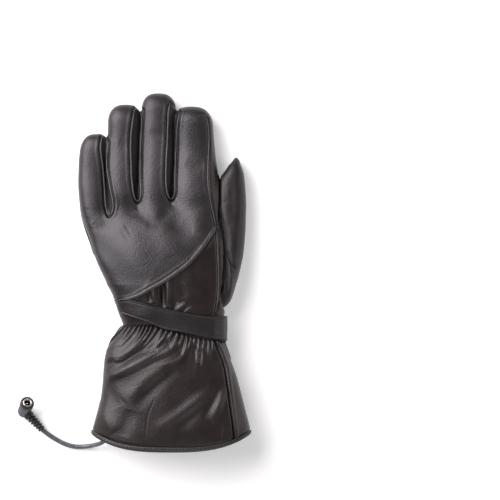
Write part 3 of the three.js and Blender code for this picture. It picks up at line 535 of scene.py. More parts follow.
@dataclass(frozen=True)
class Leather:
    """Full-grain glove leather: a fine pebble, faint wrinkles, painted shade in grooves and painted highlight
    on ridges.
    """

    name: str
    dark: Triple = (0.013, 0.0108, 0.0115)
    light: Triple = (0.0245, 0.0215, 0.0232)
    roughness: float = 0.385
    grain: float = 2.0
    pebble: float = 780.0
    wrinkles: float = 0.3

    def material(self) -> Look:
        """Builds the material."""
        tree = Tree(self.name)
        seam = tree.attribute("seam")
        ridge_highlight = tree.attribute("edge")
        broad = tree.noise(16, 3, 0.55)
        blotch = tree.noise(70, 4, 0.6)
        pebbles = tree.cells(self.pebble)
        fine = tree.noise(2300, 2, 0.5)
        sway = tree.node("ShaderNodeTexNoise", {}, {"Scale": 35.0, "Vector": tree.place()}, "Color")
        swayed = {0: sway, 1: (0.012, 0.012, 0.012), 2: tree.place()}
        bent = tree.node("ShaderNodeVectorMath", {"operation": "MULTIPLY_ADD"}, swayed)
        lines = tree.cells(150, bent, "DISTANCE_TO_EDGE").smoothstep(0.0, 0.09)
        shade = broad * 0.55 + blotch * 0.45
        colour = tree.mix(shade.smoothstep(0.3, 0.7), self.dark, self.light)
        # Painted highlight: the edge number stored on the mesh lightens raised ridges and fold tops, as light
        # on them would.
        painted_ridge_highlight = tree.mix(ridge_highlight * (0.35 + 0.65 * blotch), (0, 0, 0), (0.05, 0.045, 0.046))
        base = tree.blend("ADD", colour, painted_ridge_highlight)
        # Painted shade: the number stored on the mesh darkens the colour in seam grooves, creases and
        # valleys, where shade falls.
        deep = tree.mix(seam * 0.8, (1, 1, 1), (0.25, 0.22, 0.22))
        base = tree.blend("MULTIPLY", base, deep)
        rough = self.roughness + (blotch - 0.5) * 0.16 + seam * 0.2 + (0.5 - pebbles) * 0.05
        height = pebbles * -0.55 + fine * 0.2
        under = tree.bump(lines * 0.5 + broad * 0.5, 0.00022 * self.wrinkles, 0.55)
        normal = tree.bump(height, 0.00028 * self.grain, 0.5, under)
        return tree.finish(Base_Color=base, Roughness=rough, Normal=normal, Specular_IOR_Level=0.42)


@dataclass(frozen=True)
class Cloth:
    """Knitted lining, or the fuzzy loops of a fastening patch."""

    name: str
    dark: Triple
    light: Triple
    loops: float = 900.0
    fuzz: float = 0.35

    def material(self) -> Look:
        """Builds the material."""
        tree = Tree(self.name)
        tufts = tree.cells(self.loops)
        hair = tree.noise(3200, 3, 0.7, tree.stretched((1, 0.35, 1), (0, 0, 0.6)))
        patchy = tree.noise(120, 3)
        pile = tufts * 0.6 + hair * 0.5 + patchy * 0.3
        colour = tree.mix(pile.smoothstep(0.4, 1.0), self.dark, self.light)
        normal = tree.bump(tufts * 0.6 + hair * 0.4, 0.0005, 0.8)
        return tree.finish(
            Base_Color=colour, Roughness=0.92, Normal=normal, Sheen_Weight=self.fuzz, Sheen_Roughness=0.5,
            Specular_IOR_Level=0.2,
        )


@dataclass(frozen=True)
class Rubber:
    """Moulded black rubber or plastic with a faint orange-peel and scuffs."""

    name: str
    dark: Triple = (0.008, 0.008, 0.0085)
    light: Triple = (0.022, 0.022, 0.023)
    roughness: float = 0.38

    def material(self) -> Look:
        """Builds the material."""
        tree = Tree(self.name)
        scuff = tree.noise(260, 5, 0.7)
        peel = tree.noise(1500, 2)
        colour = tree.mix(scuff.smoothstep(0.35, 0.75), self.dark, self.light)
        rough = self.roughness + scuff * 0.18
        return tree.finish(Base_Color=colour, Roughness=rough, Normal=tree.bump(peel, 0.00006, 0.6))


@dataclass(frozen=True)
class Nickel:
    """Plated contact metal with turning marks."""

    name: str
    dark: Triple = (0.45, 0.43, 0.38)
    light: Triple = (0.78, 0.76, 0.7)

    def material(self) -> Look:
        """Builds the material."""
        tree = Tree(self.name)
        smear = tree.noise(600, 4, 0.6)
        marks = tree.noise(5200, 2, 0.5, tree.stretched((0.2, 0.2, 1)))
        colour = tree.mix(smear.smoothstep(0.3, 0.7), self.dark, self.light)
        normal = tree.bump(marks, 0.00002, 0.5)
        return tree.finish(Base_Color=colour, Metallic=1.0, Roughness=0.2 + smear * 0.16, Normal=normal)


@dataclass(frozen=True)
class Floor:
    """A plain pale studio floor."""

    name: str = "studio_floor"

    def material(self) -> Look:
        """Builds the material."""
        tree = Tree(self.name)
        speck = tree.noise(40, 3)
        colour = tree.mix(speck, (0.93, 0.93, 0.93), (0.95, 0.95, 0.95))
        return tree.finish(
            Base_Color=colour, Roughness=0.85, Specular_IOR_Level=0.1, Emission_Color=(1, 1, 1, 1),
            Emission_Strength=0.3,
        )


def built(finish: "Leather | Cloth | Rubber | Nickel") -> Look:
    """A field whose material is built from a finish when the glove is dressed."""
    return field(default_factory=finish.material)


@dataclass
class Finishes:
    """Every finish of the glove: its name, dark and light colour, roughness or fineness."""

    leather: Look = built(Leather("leather"))
    side: Look = built(Leather("side_leather", (0.009, 0.0078, 0.0078), (0.017, 0.0145, 0.015), 0.46))
    lower: Look = built(Leather("brown_leather", (0.0095, 0.0054, 0.0052), (0.018, 0.0114, 0.0108), 0.385))
    # Painted shade: the brown leather made darker for the thumb, standing in for the hand's shadow on it.
    thumb: Look = built(Leather("thumb_shaded_leather", (0.0085, 0.0058, 0.0056), (0.0155, 0.011, 0.0106), 0.47))
    # Painted highlight: a lighter copy of the leather, standing in for the light on the turned edges' rolled
    # tops.
    edge: Look = built(Leather("turned_edge_highlight_leather", (0.04, 0.037, 0.038), (0.085, 0.08, 0.081), 0.36))
    # Painted highlight: a lighter copy of the leather, standing in for the light along the welt's top.
    welt: Look = built(Leather("welt_highlight_leather", (0.03, 0.027, 0.027), (0.065, 0.06, 0.061), 0.38))
    touch: Look = built(Leather("touch_leather", (0.013, 0.012, 0.012), (0.022, 0.02, 0.02), 0.68, 1.4, 1500))
    loops: Look = built(Cloth("loop_pile", (0.006, 0.006, 0.005), (0.03, 0.029, 0.022)))
    lining: Look = built(Cloth("lining_knit", (0.008, 0.008, 0.009), (0.026, 0.026, 0.028), 1300, 0.2))
    strap: Look = built(Leather("strap_leather", (0.009, 0.0078, 0.0078), (0.017, 0.0148, 0.015), 0.42))
    binding: Look = built(Leather("binding_leather", (0.022, 0.0195, 0.019), (0.042, 0.038, 0.038), 0.4))
    thread: Look = built(Cloth("sewing_thread", (0.03, 0.028, 0.028), (0.1, 0.095, 0.095), 2600, 0.1))
    dark_thread: Look = built(Cloth("dark_thread", (0.003, 0.003, 0.003), (0.01, 0.01, 0.01), 2600, 0.1))
    rubber: Look = built(Rubber("plug_rubber", (0.0055, 0.0055, 0.006), (0.015, 0.015, 0.0155), 0.42))
    # Painted highlight: a lighter copy of the plug's rubber, standing in for the light on the strain relief's
    # rib tops.
    relief: Look = built(Rubber("relief_highlight_rubber", (0.014, 0.014, 0.0145), (0.034, 0.034, 0.035), 0.36))
    # Grey sheath made lighter still, as painted highlight standing in for the light along the cord's top.
    sheath_and_highlight: Look = built(Rubber("cord_sheath", (0.085, 0.085, 0.09), (0.15, 0.15, 0.158), 0.2))
    clip: Look = built(Rubber("clip_plastic", (0.007, 0.007, 0.008), (0.016, 0.016, 0.017), 0.3))
    nickel: Look = built(Nickel("contact_nickel"))


# Forms of the hand, as shares and millimetres of the pattern


@dataclass
class Sections:
    """Rounded cross-sections along one part: where they stand, and how far they reach."""

    y: Array
    left: Array
    right: Array
    bottom: Array
    top: Array
    narrow: Array
    thin: Array

    def rings(self, count: int, drop: Optional[Drop] = None) -> List[Array]:
        """Points around each section.

        Args:
            count: Points in a ring.
            drop: How far each point of a ring stands back along the part, from its x and the ring's number.

        Returns:
            One ring per section.
        """
        across, up = rounded_square(2 * math.pi * np.arange(count) / count)
        made = []
        for i, y in enumerate(self.y):
            left, right, bottom, top = self.left[i], self.right[i], self.bottom[i], self.top[i]
            x = (left + right) / 2 + (right - left) / 2 * self.narrow[i] * across
            z = (bottom + top) / 2 + (top - bottom) / 2 * self.thin[i] * up
            back = drop(x, i) if drop else 0
            made.append(np.column_stack([x, y - back + 0 * x, z]))
        return made

    def outside(self, places: Array) -> Array:
        """Measures places against this form.

        Args:
            places: The places.

        Returns:
            How far they lie outside it, roughly, and negative inside it.
        """
        order = np.argsort(self.y)

        def at(column: Array) -> Array:
            """One column read at each place."""
            return np.interp(places[:, 1], self.y[order], column[order])

        left, right, bottom, top = at(self.left), at(self.right), at(self.bottom), at(self.top)
        half_width = np.maximum((right - left) / 2 * at(self.narrow), 0.5)
        half_depth = np.maximum((top - bottom) / 2 * at(self.thin), 0.5)
        across = np.abs(places[:, 0] - (left + right) / 2) / half_width
        up = np.abs(places[:, 2] - (bottom + top) / 2) / half_depth
        reach = (across**FLAT + up**FLAT) ** (1 / FLAT) - 1
        beyond = np.maximum(places[:, 1] - self.y.max(), 0)
        return reach * np.minimum(half_width, half_depth) + beyond


@dataclass
class Finger:
    """One finger: its tip and base as plan places, its root inside the hand, and its width and depth."""

    name: str
    tip: Plan
    base: Plan
    root: Plan
    width: float
    depth: float
    bow: float = 0.0
    flare: float = 0.0

    def middle(self, y: Array) -> Array:
        """The finger's middle line, as x for each y."""
        t = (self.tip[1] - np.asarray(y, float)) / (self.tip[1] - self.base[1])
        low = (self.base[1] - y) / (self.base[1] - self.root[1])
        bowed = self.tip[0] + (self.base[0] - self.tip[0]) * t + 4 * t * (1 - t) * self.bow
        return np.where(t > 1, self.base[0] + (self.root[0] - self.base[0]) * low, bowed)


@dataclass
class HandForm:
    """The padded hand, four fingers and thumb as one skin, before it is cut into its panels."""

    wrist_y: float = -50.6
    wrist: Pair = WRIST_SIDES
    wrist_heights: Pair = WRIST_HEIGHTS
    palm_length: float = 112.6
    knuckles: Pair = (-71.5, 53.5)
    knuckle_heights: Pair = (1.4, 27.0)
    swell: float = 12.0
    drop: float = 29.0
    dome: float = 18.0
    thumb_length: float = 153.0
    thumb_tip: Plan = (66.6, 105.2)
    thumb_width: float = 30.0
    thumb_depth: float = 27.0
    voxel: float = 0.95
    press: float = 0.6
    rows: int = 70
    thumb_rows: int = 80
    tip_rows: int = 18
    thumb_tip_rows: int = 16
    knuckle_middle: float = 9.75
    knuckle_reach: float = 88.75
    fingers: Tuple[Finger, ...] = (
        Finger("little", (-63.7, 127.2), (-64.1, 50.0), (-56.0, 14.7), 27.0, 23.0, -3.0, 0.02),
        Finger("ring", (-36.7, 154.4), (-39.1, 56.9), (-36.0, 18.1), 30.9, 25.5, -0.6, -0.02),
        Finger("middle", (-6.1, 164.9), (-9.2, 64.0), (-9.0, 19.8), 32.0, 26.5, 1.5, 0.0),
        Finger("index", (24.8, 152.5), (29.5, 60.0), (30.0, 18.1), 35.7, 27.5, 1.2, 0.26),
    )

    EVENED = (
        # reach up the pattern, distance from the gaps, times
        (77, 0.8, 5), (74, 0.8, 6), (71, 0.8, 7), (68, 0.8, 8), (65, 1.0, 10), (62, 1.4, 20),
        (58, 2.2, 40), (50, 2.2, 60), (40, 2.2, 50),
    )
    HAND_ROWS = (
        # along, left, swell, bottom, top, hump
        (-0.2, -0.02, 0, 0, 0, 0),
        (0, 0, 0, 0, 0, 0),
        (0.094, 0.11, 0.02, 0.1, 0, 0.1),
        (0.26, 0.3, 0.07, 0.35, 0.1, 0.3),
        (0.39, 0.55, 0.15, 0.62, 0.2, 0.42),
        (0.52, 0.745, 0.24, 0.8, 0.3, 0.46),
        (0.65, 0.82, 0.26, 0.92, 0.42, 0.4),
        (0.78, 0.88, 0.25, 1, 0.6, 0.25),
        (0.91, 0.95, 0.14, 1, 0.85, 0.1),
        (1, 1, 0, 1, 1, 0),
    )
    THUMB_ROWS = (
        # along, left and right of thumb_width from the tip, bottom and top of thumb_depth
        (0, -0.17, 0.13, 0, 0.74),
        (0.02, -0.185, 0.135, 0, 0.78),
        (0.044, -0.275, 0.155, 0, 0.82),
        (0.086, -0.39, 0.205, 0, 0.87),
        (0.14, -0.535, 0.24, 0, 0.9),
        (0.285, -0.66, 0.28, 0, 0.94),
        (0.45, -0.75, 0.265, 0, 0.97),
        (0.573, -0.88, 0.21, 0, 1.04),
        (0.71, -1.09, 0.055, 0, 1.16),
        (0.86, -1.28, -0.19, 0.1, 1.22),
        (0.93, -1.35, -0.45, 0.3, 1.2),
        (1, -1.35, -0.75, 0.5, 1.1),
    )

    def hand(self) -> Sections:
        """The hand from below the wrist to the knuckles."""
        along = np.linspace(self.HAND_ROWS[0][0], 1, self.rows)
        left, swell, bottom, top, hump = read_table(self.HAND_ROWS, along)
        low, high = self.wrist_heights
        edge = self.wrist[0] + (self.knuckles[0] - self.wrist[0]) * left
        straight = self.wrist[1] + (self.knuckles[1] - self.wrist[1]) * np.maximum(along, 0)
        one = np.ones(self.rows)
        return Sections(
            self.wrist_y + along * self.palm_length,
            edge,
            straight + self.swell * swell,
            low + (self.knuckle_heights[0] - low) * bottom,
            high + (self.knuckle_heights[1] - high) * top + self.swell * hump,
            one,
            one,
        )

    @staticmethod
    def domed(share: Array, power: float) -> Array:
        """How full a rounded tip is, from 0 at its end to 1 where it is done."""
        return (1 - (1 - share) ** power) ** (1 / power)

    def finger(self, row: Finger) -> Sections:
        """One finger from its tip into the hand.

        Args:
            row: The finger's sizes.

        Returns:
            Its sections.
        """
        dome = row.tip[1] - self.dome * (1 - np.cos(np.linspace(0.05, math.pi / 2, self.tip_rows)))
        y = np.concatenate([dome, np.linspace(dome[-1] - 1.5, row.root[1], self.rows - self.tip_rows)])
        t = (row.tip[1] - y) / (row.tip[1] - row.base[1])
        inside = np.clip((row.base[1] - y) / (row.base[1] - row.root[1]), 0, 1)
        half = row.width / 2 * (1 + row.flare * smoothstep(t, 0.35, 1)) * (1 - 0.25 * inside)
        middle = row.middle(y)
        round_off = np.clip((row.tip[1] - y) / self.dome, 0, 1)
        return Sections(
            y,
            middle - half,
            middle + half,
            -self.press + (self.knuckle_heights[0] + 1.5 + self.press) * inside,
            row.depth * (0.92 + 0.2 * smoothstep(t, 0.3, 1) + 0.34 * inside),
            self.domed(round_off, 2.6),
            self.domed(round_off, 2.2),
        )

    def thumb(self) -> Sections:
        """The thumb from its tip to its root beside the wrist."""
        tip_end = self.dome / self.thumb_length
        tip = tip_end * (1 - np.cos(np.linspace(0.08, math.pi / 2, self.thumb_tip_rows)))
        rest = np.linspace(tip_end + 0.01, 1, self.thumb_rows - self.thumb_tip_rows)
        along = np.concatenate([tip, rest])
        left, right, bottom, top = read_table(self.THUMB_ROWS, along)
        round_off = np.clip(along / tip_end / 0.95, 0, 1)
        return Sections(
            self.thumb_tip[1] - along * self.thumb_length,
            self.thumb_tip[0] + self.thumb_width * left,
            self.thumb_tip[0] + self.thumb_width * right,
            self.thumb_depth * bottom - self.press,
            self.thumb_depth * top,
            self.domed(round_off, 2.3),
            self.domed(round_off, 2.2),
        )

    def knuckle_drop(self, x: Array, row: int) -> Array:
        """How far each of the hand's front rings stands back towards its sides."""
        start = self.HAND_ROWS[0][0]
        along = start + (1 - start) * row / (self.rows - 1)
        off = (x - self.knuckle_middle) / self.knuckle_reach
        return self.drop * off * off * float(smoothstep(along, 0.45, 1))

    @staticmethod
    def relax(bm: BMesh, verts: List[bmesh.types.BMVert], times: int) -> None:
        """Evens out part of a mesh a number of times."""
        for _ in range(times):
            bmesh.ops.smooth_vert(
                bm, verts=verts, factor=0.5, use_axis_x=True, use_axis_y=True, use_axis_z=True
            )

    def knuckle_region(self, bm: BMesh, reach: float, apart: float) -> List[bmesh.types.BMVert]:
        """The back of the hand below the finger crotches.

        Args:
            bm: The skin.
            reach: How far up the pattern it goes.
            apart: How far it stays from the gaps between fingers.

        Returns:
            Its vertices.
        """
        where = vert_places(bm)
        chosen = (where[:, 1] < reach) & (where[:, 1] > -12) & (where[:, 2] > 13) & (where[:, 0] < 47)
        for left, right in FINGER_GAPS.values():
            chosen &= inside_outline(where, gap_outline(left, right, 3.0)) < -apart
        return [vert for vert, wanted in zip(bm.verts, chosen.tolist()) if wanted]

    def fill_crotches(self, bm: BMesh) -> None:
        """Lifts the pits that the finger forms leave just below each crotch."""
        where = vert_places(bm)
        for left, right in FINGER_GAPS.values():
            outline = gap_outline(left, right, 3.0)
            low = outline[np.argmin(outline[:, 1])]
            near = np.hypot(where[:, 0] - low[0], where[:, 1] - low[1] + 4.5) < 7.5
            near &= (where[:, 2] > 6) & (inside_outline(where, outline) < -0.7)
            chosen = np.nonzero(near)[0]
            level = float(np.percentile(where[chosen, 2], 70)) - 0.6
            pit = chosen[where[chosen, 2] < level]
            bm.verts.ensure_lookup_table()
            for i in pit.tolist():
                bm.verts[i].co.z = level * MM
            self.relax(bm, [bm.verts[i] for i in chosen.tolist()], 12)

    def web(self, outline: Array) -> BMesh:
        """The leather web that closes the hand just below a crotch."""
        low = outline[np.argmin(outline[:, 1])]
        place = Matrix.Translation((low[0], low[1] - 7.6, 12.0)) @ Matrix.Diagonal((8.0, 7.4, 10.5, 1))
        bm = bmesh.new()
        bmesh.ops.create_uvsphere(bm, u_segments=28, v_segments=16, radius=1, matrix=place)
        return bm

    def skin(self) -> bpy.types.Mesh:
        """Joins the forms into one smooth skin.

        Returns:
            The mesh, in the frame.
        """
        whole = bmesh.new()
        tubes = [loft(self.hand().rings(140, self.knuckle_drop))]
        tubes += [loft(self.finger(row).rings(90)) for row in self.fingers]
        tubes.append(loft(self.thumb().rings(90)))
        tubes += [self.web(smooth_line([*left, *right[::-1]], 3.0)) for left, right in FINGER_GAPS.values()]
        for form in tubes:
            into_frame(form)
            joined(whole, form)
        rough = new_object("joined_forms", whole)
        merge = rough.modifiers.new("merge", "REMESH")
        merge.mode = "VOXEL"
        merge.voxel_size = self.voxel * MM
        bpy.context.view_layer.update()
        evaluated = rough.evaluated_get(bpy.context.evaluated_depsgraph_get())
        mesh = bpy.data.meshes.new_from_object(evaluated)
        bpy.data.objects.remove(rough)
        bm = bmesh.new()
        bm.from_mesh(mesh)
        self.relax(bm, bm.verts[:], 7)
        self.fill_crotches(bm)
        for reach, apart, times in self.EVENED:
            self.relax(bm, self.knuckle_region(bm, reach, apart), times)
        bm.to_mesh(mesh)
        bm.free()
        return mesh


# Sewing lines on the pattern, in plan millimetres

FINGER_GAPS: Dict[str, Tuple[Line, Line]] = {
    "little_ring": (
        ((-57.9, 124.8), (-59.2, 113.7), (-57.5, 98.3), (-55.9, 78.9), (-54.0, 58.9), (-51.1, 50.6)),
        ((-52.4, 118.7), (-53.1, 108.6), (-53.1, 95.7), (-50.1, 77.6), (-46.9, 62.1), (-48.1, 53.4)),
    ),
    "ring_middle": (
        ((-27.6, 150.2), (-31.0, 124.1), (-30.8, 98.3), (-29.8, 80.2), (-27.6, 67.3), (-24.9, 63.5)),
        ((-20.2, 148.3), (-21.6, 126.7), (-22.4, 103.4), (-22.2, 85.4), (-21.6, 70.4), (-23.0, 65.0)),
    ),
    "middle_index": (
        ((4.6, 154.7), (3.4, 144.7), (2.8, 124.1), (1.5, 98.3), (2.1, 73.7), (5.2, 66.0)),
        ((13.9, 146.3), (12.4, 138.3), (10.6, 111.1), (9.8, 85.4), (9.8, 72.9), (7.6, 66.2)),
    ),
}
INDEX_SIDE: Line = (
    (37.6, 146.0), (40.6, 128.8), (39.9, 83.7), (42.3, 65.3), (47.4, 39.6), (48.7, 25.8), (49.7, 4.6),
    (49.7, -16.6), (47.1, -37.7), (44.0, -70.0),
)
WELT: Line = (
    (47.6, 41.4), (37.3, 23.9), (23.5, 8.3), (9.7, -1.8), (-4.1, -11.0), (-16.1, -17.5), (-25.3, -23.0),
    (-31.7, -25.8), (-45.5, -26.7),
)
KEYHOLE: Line = (
    (78.0, 36.0), (36.5, 34.4), (26.6, 31.3), (15.2, 21.2), (7.8, 12.0), (3.2, 1.8), (1.7, -9.2),
    (3.2, -24.8), (8.7, -37.7), (19.8, -50.6), (28.5, -57.4), (78.0, -57.4),
)
GUSSET_TOP, GUSSET_LEFT = 143.0, 30.0
WELT_TOP = 48.0
THUMB_LEFT = 32.0
PALM_SEAM = ((-400, 13.0), (-50.6, 13.0), (17.0, 10.1), (62.0, 7.0), (163.8, 6.5), (400, 6.5))
CAP_LENGTH = 10.0
TOUCH_LENGTH = 40.7


@dataclass(frozen=True)
class Fold:
    """A soft fold: a run of plan points with its width and height; a negative height is a crease."""

    run: Line
    width: float
    height: float
    side: Side = Side.BACK


HAND_FOLDS: Sequence[Fold] = (
    Fold(((-1.2, -9.5), (-0.6, -18.0), (-0.4, -33.0)), 2.6, -3.4),
    Fold(((-8.5, -14.5), (-8.5, -20.0), (-7.5, -29.0)), 2.6, 1.3),
    Fold(((4.6, -7.0), (4.2, -18.0), (3.6, -33.0)), 2.4, 2.0),
    Fold(((-14.0, -18.0), (-13.0, -23.0), (-12.0, -28.0)), 1.8, -1.3),
    Fold(((13.0, -4.0), (16.0, -12.0), (20.0, -24.0)), 4.5, -0.8),
    Fold(((12.0, -35.5), (16.5, -32.0), (21.5, -29.0)), 1.8, 1.2),
    Fold(((17.0, -36.5), (21.0, -33.0), (25.0, -31.0)), 1.5, -1.0),
    Fold(((8.5, -38.0), (10.5, -31.0), (11.5, -26.0)), 1.8, -0.9),
    Fold(((57.6, 18.5), (60.5, 10.0), (65.2, 0.9)), 1.3, -1.6),
    Fold(((54.8, 14.0), (57.4, 5.0), (58.2, -8.0), (57.8, -28.0)), 1.4, -1.7),
    Fold(((57.1, -3.7), (53.0, -18.0), (48.1, -36.8)), 1.3, -1.8),
    Fold(((61.0, -2.0), (60.5, -14.0), (56.5, -28.0)), 2.0, 0.9),
    Fold(((-36.5, 43.0), (-33.0, 37.5), (-29.5, 31.5)), 0.9, -0.3),
    Fold(((-40.5, 37.0), (-36.5, 33.0), (-32.0, 26.5)), 0.9, -0.22),
    Fold(((-58.5, 34.0), (-45.0, 38.0), (-30.0, 45.0), (-14.0, 44.0)), 7.0, 0.7),
    Fold(((-24.0, 56.0), (-14.0, 46.0), (-6.0, 44.0), (4.0, 56.0)), 5.0, -0.8),
    Fold(((-52.0, 43.0), (-58.0, 40.0), (-66.0, 43.0)), 4.0, -0.6),
    Fold(((-80.0, 44.0), (-66.0, 30.0), (-48.0, 14.0), (-29.0, -5.0), (-16.0, -13.0)), 10.0, -1.5),
    Fold(((30.5, 143.2), (36.0, 142.0), (40.0, 137.6)), 1.0, 0.5),
    Fold(((-14.0, 128.0), (-6.0, 125.5), (2.0, 127.0)), 4.5, -0.5),
    Fold(((-42.0, 118.0), (-36.0, 116.0), (-31.5, 117.0)), 4.5, -0.4),
    Fold(((20.0, 100.0), (29.0, 96.0), (36.0, 98.0)), 5.0, -0.5),
    Fold(((62.0, 84.0), (62.5, 62.0), (61.0, 38.0)), 3.5, -0.5),
    Fold(((7.0, 50.0), (14.0, 38.0), (26.0, 40.0)), 6.0, -0.4),
    Fold(((-30.0, 60.0), (-26.0, 30.0), (-20.0, 5.0)), 9.0, 0.5),
    Fold(((-5.0, 60.0), (-2.0, 38.0), (8.0, 14.0)), 9.0, 0.5),
    Fold(((28.0, 56.0), (31.0, 42.0), (31.0, 30.0)), 8.0, 0.6),
)
PALM_FOLDS: Sequence[Fold] = (
    Fold(((-60.0, 41.0), (-30.0, 45.0), (10.0, 50.0), (38.0, 52.0)), 2.4, -0.7, Side.PALM),
    Fold(((-62.0, 36.0), (-30.0, 36.0), (5.0, 31.0)), 3.5, -0.6, Side.PALM),
    Fold(((36.5, 34.4), (34.0, 41.0), (33.0, 46.0)), 1.0, -0.8, Side.PALM),
    Fold(((14.0, 22.0), (24.0, 6.0), (26.0, -20.0)), 6.0, -0.6, Side.PALM),
    Fold(((-70.0, 86.0), (-55.0, 84.0)), 1.6, -0.5, Side.PALM),
    Fold(((-46.0, 104.0), (-25.0, 103.0)), 1.6, -0.5, Side.PALM),
    Fold(((-16.0, 110.0), (6.0, 109.0)), 1.6, -0.5, Side.PALM),
    Fold(((14.0, 100.0), (38.0, 98.0)), 1.6, -0.5, Side.PALM),
)


def gap_outline(left: Line, right: Line, step: float = 1.5) -> Array:
    """The outline of the gap between two fingers, up its left side and back down its right."""
    return np.vstack([smooth_line(left, step), smooth_line(right, step)[::-1]])


def palm_seam_height(y: Array) -> Array:
    """Height at which the palm meets the side walls."""
    return np.interp(y, *zip(*PALM_SEAM))


def wrist_line(x: Array) -> Array:
    """The seam between hand and cuff, as y for each x."""
    x = np.asarray(x, float)
    return WRIST_Y - 0.149 * (x - WRIST_MIDDLE) + 5.5 * bell(x + 6.0, 24.0)


def cut_along(bm: BMesh, values: Array, allowed: Array) -> None:
    """Cuts faces along the line where a number on the vertices is zero.

    Args:
        bm: The mesh to cut.
        values: One number per vertex.
        allowed: Which vertices' edges may be cut.
    """
    bm.verts.index_update()
    bm.edges.ensure_lookup_table()
    bm.verts.ensure_lookup_table()
    values = np.where(np.abs(values) < 0.06, 0.0, values)
    ends = np.array([(edge.verts[0].index, edge.verts[1].index) for edge in bm.edges])
    a, b = values[ends[:, 0]], values[ends[:, 1]]
    crossing = (a * b < 0) & allowed[ends[:, 0]] & allowed[ends[:, 1]]
    chosen = np.nonzero(crossing)[0]
    on_line = set(np.nonzero((values == 0) & allowed)[0].tolist())
    touched = [bm.verts[i] for i in on_line]
    edges = [bm.edges[i] for i in chosen]
    shares = [float(a[i] / (a[i] - b[i])) for i in chosen]
    for edge, share in zip(edges, shares):
        _, vert = bmesh.utils.edge_split(edge, edge.verts[0], share)
        touched.append(vert)
    bmesh.ops.connect_verts(bm, verts=touched)


